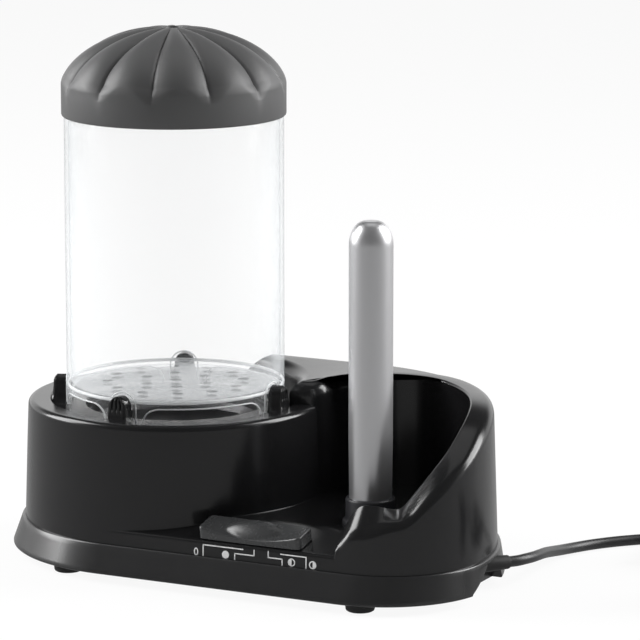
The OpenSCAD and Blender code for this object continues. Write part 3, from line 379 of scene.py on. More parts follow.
# Fired or woven: name, colour, flecks, stretch of the flecks.
CERAMIC = Fired("ceramic_body", (0.62, 0.58, 0.5), (0.45, 0.41, 0.35))
SLEEVE = Fired("woven_sleeve", (0.52, 0.54, 0.57), (0.3, 0.31, 0.33), 0.2)

NODE_FINISHES: dict[Finish, tuple[str, ...]] = {
    DISH_STEEL_SHADED: ("water_dish", "dish_clamp"),
    SEAL_BLACK: ("dish_seal",),
    SCREW_STEEL: ("dish_screws", "switch_screws", "clamp_screws", "base_screws", "spike_nut",
                  "thermal_fuse"),
    HEATER_METAL: ("heat_plate",),
    TUBE_METAL: ("heating_tube",),
    CERAMIC: ("thermostat", "spike_heater", "spike_insulator", "terminal_block"),
    INNER_BLACK: ("switch_slider", "switch_body", "cord_clamp"),
    SLEEVE: ("heater_leads", "spike_leads"),
    PIN_METAL: ("plug_pins",),
}


def show(name: str, data: bpy.types.ID) -> bpy.types.Object:
    """Makes an object and links it to the scene.

    Args:
        name: the object's name.
        data: its mesh, curve, lamp or camera.

    Returns:
        The new object.
    """
    made = bpy.data.objects.new(name, data)
    bpy.context.scene.collection.objects.link(made)
    return made


class Bench:
    """Makes shapes in millimetres from the tower's axis and turns them into pieces."""

    axis_x = -52.0

    @staticmethod
    def chain(bm: Shape, points: Iterable[Point], closed: bool = True
              ) -> tuple[list[bmesh.types.BMVert], list[bmesh.types.BMEdge]]:
        """A line of edges through points.

        Args:
            bm: the mesh to draw in.
            points: the places in order.
            closed: whether the last joins the first.

        Returns:
            The vertices and the edges.
        """
        verts = [bm.verts.new(p) for p in points]
        follow = verts[1:] + (verts[:1] if closed else [])
        return verts, [bm.edges.new(pair) for pair in zip(verts, follow)]

    @staticmethod
    def loft(bm: Shape, rings: Sequence[Sequence[Point]], capped: bool = True) -> None:
        """Extrudes a closed ring from section to section.

        Args:
            bm: the mesh to draw in.
            rings: sections with as many points each.
            capped: whether both ends are filled.
        """
        verts, edges = Bench.chain(bm, rings[0])
        first = edges
        for ring in rings[1:]:
            geom = bmesh.ops.extrude_edge_only(bm, edges=edges)["geom"]
            fresh = {g for g in geom if isinstance(g, bmesh.types.BMVert)}
            edges = [g for g in geom if isinstance(g, bmesh.types.BMEdge) and set(g.verts) <= fresh]
            moved = []
            for vert, place in zip(verts, ring):
                twin = next(e.other_vert(vert) for e in vert.link_edges if e.other_vert(vert) in fresh)
                twin.co = place
                moved.append(twin)
            verts = moved
        if capped:
            bmesh.ops.edgeloop_fill(bm, edges=first)
            bmesh.ops.edgeloop_fill(bm, edges=edges)

    @staticmethod
    def lofted(rings: Sequence[Sequence[Point]], capped: bool = True) -> Shape:
        """A new shape with one loft in it.

        Args:
            rings: sections with as many points each.
            capped: whether both ends are filled.

        Returns:
            The shape.
        """
        bm = bmesh.new()
        Bench.loft(bm, rings, capped)
        return bm

    @staticmethod
    def turned(profile: Sequence[Point], steps: int, centre: Point = (0, 0), closed: bool = True
               ) -> Shape:
        """Spins a profile of [radius, height] about an upright axis.

        Args:
            profile: the points of the section.
            steps: faces round the axis.
            centre: the axis in plan.
            closed: whether the profile is a loop; an open one ends on the axis.

        Returns:
            The turned mesh.
        """
        bm = bmesh.new()
        verts, edges = Bench.chain(bm, [(centre[0] + r, centre[1], z) for r, z in profile], closed)
        bmesh.ops.spin(bm, geom=verts + edges, cent=(*centre, 0), axis=(0, 0, 1), angle=2 * math.pi,
                       steps=steps, use_merge=True)
        return bm

    @staticmethod
    def tidy(bm: Shape) -> None:
        """Merges doubles and turns the faces outwards."""
        bmesh.ops.remove_doubles(bm, verts=bm.verts, dist=1e-4)
        bmesh.ops.recalc_face_normals(bm, faces=bm.faces)

    @staticmethod
    def carve(bm: Shape, cutter: Shape) -> None:
        """Takes one shape out of another.

        Args:
            bm: the shape that is cut, changed in place.
            cutter: the shape that is taken out, used up.
        """
        shown = []
        for shape in (bm, cutter):
            Bench.tidy(shape)
            mesh = bpy.data.meshes.new("blank")
            shape.to_mesh(mesh)
            shown.append(show("blank", mesh))
        cutter.free()
        cut = shown[0].modifiers.new("cut", "BOOLEAN")
        cut.operation, cut.solver, cut.object = "DIFFERENCE", "EXACT", shown[1]
        graph = bpy.context.evaluated_depsgraph_get()
        result = bpy.data.meshes.new_from_object(shown[0].evaluated_get(graph))
        bm.clear()
        bm.from_mesh(result)
        bpy.data.meshes.remove(result)
        for blank in shown:
            mesh = blank.data
            bpy.data.objects.remove(blank)
            bpy.data.meshes.remove(mesh)

    @staticmethod
    def move(bm: Shape, matrix: Matrix) -> None:
        """Moves a whole shape by a matrix."""
        bmesh.ops.transform(bm, matrix=matrix, verts=bm.verts)

    @staticmethod
    def mesh(bm: Shape, name: str) -> bpy.types.Mesh:
        """Writes a shape into a new mesh and uses it up.

        Args:
            bm: the shape.
            name: the mesh's name.

        Returns:
            The mesh.
        """
        mesh = bpy.data.meshes.new(name)
        bm.to_mesh(mesh)
        bm.free()
        return mesh

    @staticmethod
    def join(bm: Shape, one: Shape) -> None:
        """Adds one shape to another.

        Args:
            bm: the shape that grows.
            one: the shape that is added, used up.
        """
        mesh = Bench.mesh(one, "blank")
        bm.from_mesh(mesh)
        bpy.data.meshes.remove(mesh)

    @staticmethod
    def piece(bm: Shape, name: str, finish: Finish, slot: str, stands_for: Sequence[str] = (),
              body: Body = Body.BASE, crease: float = 32.0) -> bpy.types.Object:
        """Turns a mesh into a finished piece on its body.

        Args:
            bm: the mesh in millimetres, used up.
            name: the piece's name.
            finish: its finish.
            slot: passed on to place, which does not use it.
            stands_for: CAD nodes that it replaces.
            body: the body that it rides on.
            crease: edges that turn by more than this many degrees stay sharp.

        Returns:
            The new object.
        """
        Bench.tidy(bm)
        bmesh.ops.translate(bm, verts=bm.verts, vec=(Bench.axis_x, 0, 0))
        bmesh.ops.scale(bm, verts=bm.verts, vec=(MM, MM, MM))
        for face in bm.faces:
            face.smooth = True
        for edge in bm.edges:
            edge.smooth = edge.calc_face_angle(0.0) < math.radians(crease)
        return Bench.place(name, Bench.mesh(bm, name), finish, slot, stands_for, body)

    @staticmethod
    def place(name: str, data: bpy.types.ID, finish: Finish, slot: str, stands_for: Sequence[str], body: Body
              ) -> bpy.types.Object:
        """Links and dresses a piece, rides it on its body and hides the CAD nodes that it stands for.

        Args:
            name: the piece's name.
            data: its mesh or curve.
            finish: its finish.
            slot: not used.
            stands_for: CAD nodes that it replaces.
            body: the body that it rides on.

        Returns:
            The new object.
        """
        made = show(name, data)
        data.materials.append(finish.material())
        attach(made, body.value)
        if stands_for:
            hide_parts(*stands_for)
        LOG.info("%s: %s on %s", made.name, finish.name, body.value)
        return made


def arc(centre: Point, radius: float, start: float, end: float, steps: int) -> list[Vector]:
    """Points on an arc in plan, both ends in it, angles in degrees."""
    turn = [math.radians(start + (end - start) * i / steps) for i in range(steps + 1)]
    return [Vector((centre[0] + radius * math.cos(a), centre[1] + radius * math.sin(a))) for a in turn]


def ease(t: float) -> float:
    """A smooth step from 0 to 1."""
    t = min(1.0, max(0.0, t))
    return t * t * (3 - 2 * t)


def heading(angle: float) -> Vector:
    """The unit vector in plan at an angle in degrees."""
    return Vector((math.cos(math.radians(angle)), math.sin(math.radians(angle))))


def raised(points: Iterable[Vector], z: float) -> list[Vector]:
    """Points in plan, lifted to one height."""
    return [Vector((*v, z)) for v in points]


def bent(start: Vector, corner: Vector, end: Vector, steps: int) -> list[Vector]:
    """Points on the soft bend that stands in for a corner.

    Args:
        start: where the bend leaves the first line.
        corner: where the lines would meet.
        end: where the bend joins the second line.
        steps: parts of the bend.

    Returns:
        The points, both ends in them.
    """
    shares = [i / steps for i in range(steps + 1)]
    return [start * (1 - t) ** 2 + 2 * corner * t * (1 - t) + end * t * t for t in shares]


def rotation(angle: float, axis: str = "Z") -> Matrix:
    """The turn by an angle in degrees about an axis through the origin."""
    return Matrix.Rotation(math.radians(angle), 4, axis)


@dataclass(frozen=True)
class Plan:
    """The base's plan and the heights that several pieces share, in millimetres."""

    base_r: float = 84.5
    lobe_dx: float = 133.5
    lobe_r: float = 55.0
    wall_out: float = 3.0
    skirt_z: float = 19.0
    skirt_step: float = 6.5
    rim_z: float = 91.0
    lean: float = 2.5
    foot_z: float = 18.0
    floor_z: float = 33.0
    panel_w: float = 28.0
    panel_drop: float = 6.5
    wall_t: float = 12.0
    deck_z: float = 80.0
    jar_r: float = 56.0
    crease_soft: float = 4.0
    steps: tuple[int, int, int] = (120, 56, 72)

    @property
    def lobe(self) -> Vector:
        """Centre of the tray's front corner."""
        return Vector((self.lobe_dx, self.lobe_r - self.base_r))

    @property
    def back_r(self) -> float:
        """Radius of the long back curve."""
        return 2 * self.base_r - self.lobe_r

    @property
    def back(self) -> Vector:
        """Centre of the long back curve."""
        return Vector((self.lobe_dx + self.lobe_r - self.back_r, self.lobe.y))

    @property
    def wall_lobe(self) -> Vector:
        """Centre of the wall's front corner, a little further right."""
        return self.lobe + Vector((self.wall_out, 0))

    @property
    def wall_back(self) -> Vector:
        """Centre of the wall's long back curve."""
        return self.back + Vector((self.wall_out, 0))

    def inset(self, z: float) -> float:
        """How far the wall stands in from the skirt's widest line."""
        return self.skirt_step + self.lean * (z - self.skirt_z) / (self.rim_z - self.skirt_z)

    def tower_r(self, z: float) -> float:
        """The tower's radius at a height."""
        return self.base_r - self.inset(z)

    @property
    def panel_front_y(self) -> float:
        """Front edge of the sloping panel."""
        return -self.tower_r(self.floor_z - self.panel_drop)

    def panel_z(self, y: float) -> float:
        """Height of the tray's floor and panel, with a soft crease between them."""
        slope = self.panel_drop / self.panel_w
        ahead = self.panel_front_y + self.panel_w - y
        soft = self.crease_soft
        if ahead > soft:
            return self.floor_z - slope * ahead
        return self.floor_z - slope * max(0.0, ahead + soft) ** 2 / (4 * soft)

    def outline(self, inset: float, out: float = 0.0) -> list[Vector]:
        """The closed plan at an inset, with its right end shifted out."""
        shift = Vector((out, 0))
        tower, lobe, back = self.steps
        return (arc((0, 0), self.base_r - inset, 90, 270, tower)
                + arc(self.lobe + shift, self.lobe_r - inset, -90, 0, lobe)
                + arc(self.back + shift, self.back_r - inset, 0, 90, back)[1:])


PLAN = Plan()


@dataclass
class Studio:
    """Camera, floor, world and lamps."""

    eye: Triple = (0.9144, -1.7726, 0.508)
    yaw: float = 26.49
    pitch: float = 10.9
    lens: float = 225.0
    sensor: float = 36.0
    far: float = 50.0
    floor_half: float = 6.0
    floor_colour: tuple[float, ...] = (0.86, 0.86, 0.86, 1)
    floor_gloss: float = 0.5
    floor_plain: float = 0.92
    fill: float = 0.2
    gloss_dark: float = 0.17
    gloss_drop: float = 0.1
    gloss_white: float = 1.05
    rear: Triple = (-0.446, 0.895, 0)
    white_top: Pair = (0.3, 0.5)
    white_rear: Pair = (-0.6, 0.2)
    drop_rear: Pair = (-0.4, 0.2)
    aim: Triple = (0.0, 0.0, 0.12)
    lamps: tuple[tuple[str, Point, Pair, float], ...] = (
        ("left", (-1.5, -0.36, 0.95), (1.0, 1.3), 42.0),
        ("right", (1.25, 0.92, 1.0), (1.0, 1.3), 42.0),
        ("above", (-0.2, 0.5, 2.0), (1.2, 1.2), 3.0))

    def camera(self) -> None:
        """Sets the camera at the photograph's place and angle."""
        data = bpy.data.cameras.new("view")
        data.lens, data.sensor_width, data.sensor_fit = self.lens, self.sensor, "HORIZONTAL"
        data.clip_end = self.far
        made = show("view", data)
        yaw, pitch = math.radians(self.yaw), math.radians(self.pitch)
        level = math.cos(pitch)
        ahead = Vector((-math.sin(yaw) * level, math.cos(yaw) * level, -math.sin(pitch)))
        right = Vector((math.cos(yaw), math.sin(yaw), 0))
        axes = Matrix((right, right.cross(ahead), -ahead)).transposed()
        made.matrix_world = Matrix.Translation(self.eye) @ axes.to_4x4()
        bpy.context.scene.camera = made

    def rays(self, graph: Graph) -> tuple[Sock, Sock]:
        """One for rays that show the background plainly, and one for rays off a glossy surface.

        Args:
            graph: the floor's or the world's node tree.

        Returns:
            Both shares, 0 or 1.
        """
        path = graph.node("ShaderNodeLightPath", {}, {}, Ray.CAMERA.value)
        outs = path.socket.node.outputs
        return path.most(Sock(graph, outs[Ray.THROUGH.value])), Sock(graph, outs[Ray.GLOSSY.value])

    def floor(self) -> None:
        """A white floor that keeps a faint shadow and looks darker in reflections."""
        bm = bmesh.new()
        bmesh.ops.create_grid(bm, x_segments=2, y_segments=2, size=self.floor_half)
        made = show("floor", Bench.mesh(bm, "floor"))
        stone = bpy.data.materials.new("floor_pale")
        stone.use_nodes = True
        graph = Graph(stone.node_tree)
        plain, gloss = self.rays(graph)
        lit = graph.node("ShaderNodeBsdfDiffuse", {}, {"Color": self.floor_colour})
        glow = plain + gloss * self.floor_gloss
        pale = graph.node("ShaderNodeEmission", {}, {"Color": WHITE, "Strength": glow})
        share = plain * self.floor_plain + gloss
        both = graph.node("ShaderNodeMixShader", {}, {0: share, 1: lit, 2: pale})
        graph.node("ShaderNodeOutputMaterial", {}, {"Surface": both})
        made.data.materials.append(stone)

    def world(self) -> None:
        """A white surround that reflections show bright only low behind the object and at its sides."""
        world = bpy.data.worlds.new("surround")
        bpy.context.scene.world = world
        world.use_nodes = True
        graph = Graph(world.node_tree)
        plain, gloss = self.rays(graph)
        way = graph.node("ShaderNodeTexCoord", {}, {}, "Generated")
        up = graph.node("ShaderNodeSeparateXYZ", {}, {0: way}, 2)
        rear = graph.node("ShaderNodeVectorMath", {"operation": "DOT_PRODUCT"},
                          {0: way, 1: self.rear}, "Value")
        white = (1.0 - up.between(*self.white_top)) * rear.between(*self.white_rear)
        dim = self.gloss_dark - rear.between(*self.drop_rear) * self.gloss_drop
        shown = dim + white * self.gloss_white
        strength = self.fill + plain * (1.0 - self.fill) + gloss * (shown - self.fill)
        sky = graph.node("ShaderNodeBackground", {}, {"Color": WHITE, "Strength": strength})
        graph.node("ShaderNodeOutputWorld", {}, {"Surface": sky})

    def lamp(self, name: str, place: Point, size: Pair, power: float) -> None:
        """Adds one rectangular soft lamp that faces the object.

        Args:
            name: the lamp's name.
            place: where it stands, in metres.
            size: its width and height.
            power: its power in watts.
        """
        data = bpy.data.lights.new(name, "AREA")
        data.shape, data.size, data.size_y, data.energy = "RECTANGLE", *size, power
        facing = (Vector(self.aim) - Vector(place)).to_track_quat("-Z", "Y")
        show(name, data).matrix_world = Matrix.Translation(place) @ facing.to_matrix().to_4x4()

    def build(self) -> None:
        """Sets the whole stage."""
        self.camera()
        self.floor()
        self.world()
        for lamp in self.lamps:
            self.lamp(*lamp)
        bpy.context.scene.view_settings.view_transform = "Standard"


@dataclass
class MainsLead:
    """The lead from its gland to the tied coil, and the plug."""

    diameter: float = 5.5
    gland_end: Triple = (188.0, 0.0, 13.0)
    gland_a: float = 50.0
    gland_l: float = 22.0
    bore_gap: float = 0.1
    lie: float = 0.15
    coil_off: Pair = (76.0, 100.0)
    coil_lift: float = 1.2
    coil_r: float = 30.0
    coil_steps: int = 24
    turns: float = 4.3333
    gap: float = 0.7
    start_a: float = 120.0
    approach: float = 9.0
    tie_a: float = 215.0
    tie_w: float = 7.0
    tie_t: float = 0.8
    tie_gap: float = 0.4
    tie_round: float = 1.6
    tie_low: float = 0.12
    plug_r: float = 18.0
    plug_l: float = 40.0
    plug_off: float = 44.0
    plug_lift: float = 0.3
    ribs: tuple[float, ...] = (27, 29.5, 32, 34.5)
    rib_d: float = 0.7
    route: Triples = (
        (3, 4, 1), (5, 9, 1), (6, 16, 0.95), (5.5, 25, 0.85), (3.5, 38, 0.65), (2, 51, 0.41),
        (1.5, 64, 0.19), (3.5, 77, 0.05), (9, 89.5, 0), (18, 101, 0), (29, 112, 0), (40, 120.5, 0.04))
    leave: Triples = ((0, -5.5, 0), (0, -12, 0), (0, -20, 2))
    arrive: Triples = ((0, 16, -3), (0, 8, -0.4), (0, 0, 0))

    @property
    def coil_c(self) -> Vector:
        """The coil's centre in plan."""
        return Vector(self.gland_end[:2]) + Vector(self.coil_off)

    @property
    def step(self) -> float:
        """Distance between neighbouring turns."""
        return self.diameter + self.gap

    @property
    def coil_z(self) -> float:
        """Height of the lower layer's middle."""
        return self.diameter / 2 + self.coil_lift

    def coil_point(self, t: float) -> Vector:
        """The coil's middle line after t turns: in, up a layer and out again."""
        half = self.turns / 2
        radius = self.coil_r + self.step * self.turns / 4 - self.step * (half - abs(t - half))
        spot = self.coil_c + radius * heading(self.start_a - 360 * t)
        return Vector((*spot, self.coil_z + self.step * ease(2 * (t - half) + 0.5)))

    def path(self) -> list[Vector]:
        """The lead's middle line from the gland to the plug."""
        low = self.diameter / 2 + self.lie
        end = Vector(self.gland_end)
        run = [end]
        for x, y, share in self.route:
            run.append(Vector((end.x + x, end.y + y, low + (end.z - low) * share)))
        into = Vector((*heading(self.start_a - 90), 0))
        start, finish, rear = self.coil_point(0), self.coil_point(self.turns), self.plug_rear()
        run += [start - self.approach * into, start - self.diameter * into]
        count = math.ceil(self.turns * self.coil_steps)
        run += [self.coil_point(self.turns * i / count) for i in range(count + 1)]
        return run + [finish + Vector(v) for v in self.leave] + [rear + Vector(v) for v in self.arrive]

    def plug_rear(self) -> Vector:
        """Where the lead enters the plug."""
        finish = self.coil_point(self.turns)
        return Vector((finish.x, finish.y - self.plug_off, self.plug_r + self.plug_lift))

    def smooth_path(self, parts: int = 4) -> list[Vector]:
        """The same line with points between, on one smooth curve."""
        run = self.path()
        ends = [run[0] * 2 - run[1], *run, run[-1] * 2 - run[-2]]
        fine = []
        for a, b, c, d in zip(ends, ends[1:], ends[2:], ends[3:]):
            for i in range(parts):
                t = i / parts
                fine.append(0.5 * (2 * b + (c - a) * t + (2 * a - 5 * b + 4 * c - d) * t ** 2
                                   + (3 * b - a - 3 * c + d) * t ** 3))
        return fine + [run[-1]]

    def build(self) -> None:
        gland, tie, plug = self.gland(), self.tie(), self.plug()
        line = [(p + Vector((Bench.axis_x, 0, 0))) * MM for p in self.smooth_path()]
        curve = bpy.data.curves.new("mains_lead", "CURVE")
        curve.dimensions, curve.bevel_depth, curve.bevel_resolution = "3D", self.diameter / 2 * MM, 5
        curve.use_fill_caps = True
        spline = curve.splines.new("POLY")
        spline.points.add(len(line) - 1)
        for point, place in zip(spline.points, line):
            point.co = (*place, 1)
        spline.use_smooth = True
        lead = Bench.place("mains_lead", curve, CORD_JACKET, "cord_black",
                           ("cord_lead", "cord_coil", "cord_tail"), Body.BASE)
        length = sum((b - a).length for a, b in zip(line, line[1:]))
        LOG.info("lead length %.3f m", length)

    def gland(self) -> bpy.types.Object:
        """The plain tapered strain relief, turned upright and then laid down."""
        bore, end = self.diameter / 2 + self.bore_gap, self.gland_l
        bm = Bench.turned([(4.7, 0), (4.7, 2.8), (4.5, 3.0), (4.15, 3.3), (3.85, 12), (3.5, end - 0.8),
                           (3.3, end - 0.2), (3.0, end), (bore, end), (bore, 0)], 48)
        start = Vector(self.gland_end) - self.gland_l * Vector((*heading(self.gland_a), 0))
        Bench.move(bm, Matrix.Translation(start) @ rotation(self.gland_a) @ rotation(90, "Y"))
        return Bench.piece(bm, "lead_gland", RUBBER, "rubber_black", ("cord_gland",))

    def tie(self) -> bpy.types.Object:
        """The flat band round the coil, with a rounded section."""
        reach = self.diameter / 2 + self.tie_gap
        outer_r = self.coil_r + self.step * self.turns / 4
        r = self.tie_round
        low, high = outer_r - self.step * self.turns / 2 - reach + r, outer_r + reach - r
        base, top = self.coil_z - reach + r, self.coil_z + self.step + reach - r
        corners = ((high, top, 0), (low, top, 90), (low, base, 180), (high, base, 270))
        rings = []
        for thick in (0.0, self.tie_t):
            line = [v for x, z, a in corners for v in arc((x, z), r + thick, a, a + 90, 6)]
            rings.append([(v.x, max(self.tie_low, v.y)) for v in line])
        w = self.tie_w / 2
        sides = ((0, -w), (1, -w), (1, w), (0, w), (0, -w))
        bm = Bench.lofted([[(x, y, z) for x, z in rings[i]] for i, y in sides], capped=False)
        Bench.move(bm, Matrix.Translation((*self.coil_c, 0)) @ rotation(self.tie_a))
        return Bench.piece(bm, "lead_tie", TIE_GREY, "tie_grey", ("cord_tie",))

    def plug(self) -> bpy.types.Object:
        """The round plug with its bell mouth and its ribbed grip."""
        r, length, low = self.plug_r, self.plug_l, self.plug_r - self.rib_d
        outer = [(0, 0), (self.diameter / 2 + 1.2, 0), (4.4, 5), (5.2, 10), (6.4, 14), (8.5, 16.4),
                 (12, 18.8), (15.2, 21), (r - 1, 23), (r - 0.3, 23.8), (r, 25)]
        for z in self.ribs:
            outer += [(r, z), (low, z + 0.5), (low, z + 1.1), (r, z + 1.6)]
        outer += [(r, length - 1.2), (r - 0.4, length - 0.4), (r - 1.2, length), (0, length)]
        bm = Bench.turned(outer, 72, closed=False)
        Bench.move(bm, Matrix.Translation(self.plug_rear()) @ rotation(90, "X"))
        return Bench.piece(bm, "lead_plug", PLUG_BLACK, "plug_black", ("plug_body",))


@dataclass
class Station:
    """One section of the tray's wall: where it stands, how high its rim is and how far the rim slopes."""

    inner: Vector
    out: Vector
    rim: float
    thin: float = 0.0
    upright: float = 0.0
    drop: float = 0.06
    soft: float = 1.3


@dataclass
class Housing:
    """The black upper housing: tower, tray with its flowing wall, shoulder and sloping panel."""

    plan: Plan = PLAN
    shell_t: float = 2.5
    lip_r: float = 3.0
    deck_floor_z: float = 77.0
    dish_mouth_r: float = 46.0
    mouth_round: float = 1.2
    pocket_r: float = 34.0
    pocket_gap: float = 0.5
    pocket_start: float = 165.0
    nose_r: float = 13.0
    nose_gap: float = 0.5
    nose_angles: tuple[float, ...] = (-78, -70, -60, -50, -40, -30, -22, -15)
    shoulder_y: float = 8.0
    shoulder_r: float = 62.0
    shoulder_x: float = 3.0
    valley_z: float = 48.75
    valley_a: float = -55.5
    valley_wide: float = 5.0
    valley_fade: float = 15.0
    beak_z: float = 51.0
    fall_a: float = 40.0
    crest_a: float = -79.0
    horn_a: float = -82.0
    horn_l: float = 7.3
    tip_t: float = 2.7
    tip_up: float = 1.8
    tip_dive: float = 12.0
    band_back: float = 4.0
    band_horn: float = 11.5
    band_tip: float = 2.0
    bend_most: float = 4.5
    edge_r: float = 7.0
    rim_in_r: float = 1.3
    horn_in_r: float = 2.8
    tip_in_r: float = 0.9
    lug_r: float = 63.8
    rib_out: float = 1.2
    front_in: float = 3.0
    tuck: float = 4.0
    tuck_z: float = 0.03
    skin: float = 0.05
    fillet_r: float = 0.35
    fillet_a: Pair = (-85.0, 7.0)
    stations: list[Station] = field(default_factory=list)

    def __post_init__(self) -> None:
        """Works out the tray's inner boundary."""
        p = self.plan
        self.wall_in = p.inset(p.rim_z) + p.wall_t
        self.lobe_in_r = p.lobe_r - self.wall_in
        self.back_in_r = p.back_r - self.wall_in
        pocket_x = p.tower_r(p.floor_z) + self.pocket_r + self.pocket_gap
        across = pocket_x - p.wall_back.x
        up = math.sqrt((self.back_in_r - self.pocket_r) ** 2 - across ** 2)
        self.pocket = Vector((pocket_x, p.lobe.y + up))
        self.pocket_a = math.degrees(math.atan2(self.pocket.y - p.lobe.y, across))
        self.nose = Vector((pocket_x - self.pocket_r - self.nose_r + self.nose_gap,
                            self.shoulder_y + self.nose_r))
        self.stations = self.tray_stations()

    def add(self, bm: Shape, name: str, crease: float) -> None:
        """Turns one shape into a piece of the housing.

        Args:
            bm: the shape, used up.
            name: the piece's name.
            crease: edges that turn by more than this many degrees stay sharp.
        """
        Bench.piece(bm, name, HOUSING_BLACK, "housing_black", ("upper_housing",), crease=crease)

    @staticmethod
    def run(angle: float, radius: float) -> float:
        """Length of the rim over an angle."""
        return (radius + 1) * math.radians(angle)

    def rim_fall(self, run: float) -> float:
        """Rim height after a run along the wall from where it starts to fall."""
        p = self.plan
        whole = self.run(self.fall_a, self.back_in_r) + self.run(-self.valley_a, self.lobe_in_r)
        return p.rim_z - (p.rim_z - self.valley_z) * max(0.0, run / whole) ** 3

    def raw_rim(self, a: float) -> float:
        """Rim height round the front corner before the valley is softened."""
        if a > self.valley_a:
            return self.rim_fall(self.run(self.fall_a, self.back_in_r) + self.run(-a, self.lobe_in_r))
        share = ease((a - self.valley_a) / (self.crest_a - self.valley_a))
        return self.valley_z + (self.beak_z - self.valley_z) * share

    def lobe_rim(self, a: float) -> float:
        """Rim height round the front corner: down to a soft valley and up to the crest."""
        wide = self.valley_wide * ease((a - self.horn_a) / self.valley_fade)
        return sum(self.raw_rim(a + wide * i / 4) for i in range(-4, 5)) / 9

    def horn(self, a: float, run: float) -> Station:
        """A section of the horn, which falls and thins along the front edge.

        Args:
            a: the angle round the front corner.
            run: how far past the corner, in millimetres.

        Returns:
            The section.
        """
        p = self.plan
        whole = self.run(self.horn_a + 90, self.lobe_in_r) + self.horn_l
        u = (self.run(self.horn_a - a, self.lobe_in_r) + run) / whole
        inside = min(1.0, u)
        fall = 0.3 * inside ** 2.4 + 0.7 * (1 - math.sqrt(max(0.0, 1 - inside ** 2)))
        end = p.floor_z - p.panel_drop + self.tip_up
        rim = self.beak_z - (self.beak_z - end) * fall - self.tip_dive * (u - inside)
        spot = p.wall_lobe + self.lobe_in_r * heading(a) - Vector((run, 0))
        return Station(spot, heading(a), rim, thin=(p.wall_t - self.tip_t) * inside ** 3,
                       drop=self.band_horn - (self.band_horn - self.band_tip) * inside ** 6,
                       soft=self.horn_in_r - (self.horn_in_r - self.tip_in_r) * inside ** 2)

    def tray_stations(self) -> list[Station]:
        """The wall's sections from the nose round the pocket and the back to the horn's tip."""
        p = self.plan
        found = [Station(self.nose + self.nose_r * heading(a), -heading(a), p.rim_z, upright=1,
                         soft=self.edge_r) for a in self.nose_angles]
        count = 44
        for i in range(count + 1):
            a = self.pocket_start + (self.pocket_a - self.pocket_start) * i / count
            soft = self.edge_r + (self.rim_in_r - self.edge_r) * ease(i / 24)
            found.append(Station(self.pocket + self.pocket_r * heading(a), heading(a), p.rim_z,
                                 upright=1 - ease(i / 10), soft=soft))
        count = 60
        for i in range(1, count + 1):
            a = self.pocket_a * (1 - i / count)
            rim = self.rim_fall(self.run(self.fall_a - a, self.back_in_r))
            drop = Station.drop + (self.band_back - Station.drop) * ease(i / count)
            found.append(Station(p.wall_back + self.back_in_r * heading(a), heading(a), rim, drop=drop))
        for i in range(1, 1 - round(self.horn_a)):
            drop = self.band_back + (self.band_horn - self.band_back) * ease((i - 58) / 24)
            soft = self.rim_in_r + (self.horn_in_r - self.rim_in_r) * ease((i - 60) / 20)
            found.append(Station(p.wall_lobe + self.lobe_in_r * heading(-i), heading(-i),
                                 self.lobe_rim(-i), drop=drop, soft=soft))
        found += [self.horn(self.horn_a - 0.5 * i, 0) for i in range(1, 17)]
        return found + [self.horn(-90, self.horn_l * i / 12) for i in range(1, 15)]

    def wall_section(self, s: Station) -> list[Vector]:
        """One section of the wall: a small round, a sloping band and a soft bend into the outer face."""
        p = self.plan

        def outer(z: float) -> Vector:
            """The outer face at a height."""
            inset = s.upright * p.inset(p.rim_z) + (1 - s.upright) * p.inset(z)
            return Vector((self.wall_in - inset - s.upright - 0.02, z))

        low, r = s.thin, s.soft
        corner = outer(s.rim - s.drop)
        bend = min(self.bend_most, 0.45 * (corner.x - low), corner.x - low - r - 0.2)
        start = corner + bend * (Vector((low + r, s.rim)) - corner).normalized()
        flat = [Vector((low, p.foot_z)), Vector((low, s.rim - r - 1.5))]
        flat += [Vector((low + r, s.rim - r)) + r * heading(180 - 15 * k) for k in range(7)]
        flat += bent(start, corner, outer(corner.y - bend), 10) + [outer(p.foot_z)]
        return [Vector((*(s.inner + v.x * s.out), v.y)) for v in flat]

    def wall(self) -> None:
        """The flowing wall round the tray."""
        self.add(Bench.lofted([self.wall_section(s) for s in self.stations]), "tray_wall", 40)

    def tower(self) -> None:
        """The tower with its round lip and dished deck."""
        p = self.plan
        r, deck_r, rib_r = self.lip_r, p.tower_r(p.deck_z), self.lug_r + self.rib_out
        mouth, edge = self.dish_mouth_r, self.mouth_round
        floor_z, under_z = self.deck_floor_z, self.deck_floor_z - self.shell_t
        profile = [(p.tower_r(z), z) for z in (p.foot_z, 40, 60)]
        profile += [tuple(v) for v in arc((deck_r - r, p.deck_z - r), r, 0, 90, 10)]
        profile += [(deck_r - r - 0.3, p.deck_z), (rib_r + 0.3, p.deck_z)]
        for i in range(11):
            profile.append((rib_r - 0.25 * i, p.deck_z - (p.deck_z - floor_z) * ease(i / 10)))
        profile += [(rib_r - 2.8, floor_z), (mouth + 1.5, floor_z)]
        profile += [tuple(v) for v in arc((mouth + edge, floor_z - edge), edge, 90, 180, 5)]
        profile += [(mouth, under_z), (deck_r - self.shell_t - 1, under_z),
                    (p.tower_r(p.foot_z) - self.shell_t, p.foot_z)]
        self.add(Bench.turned(profile, 240), "tower", 50)

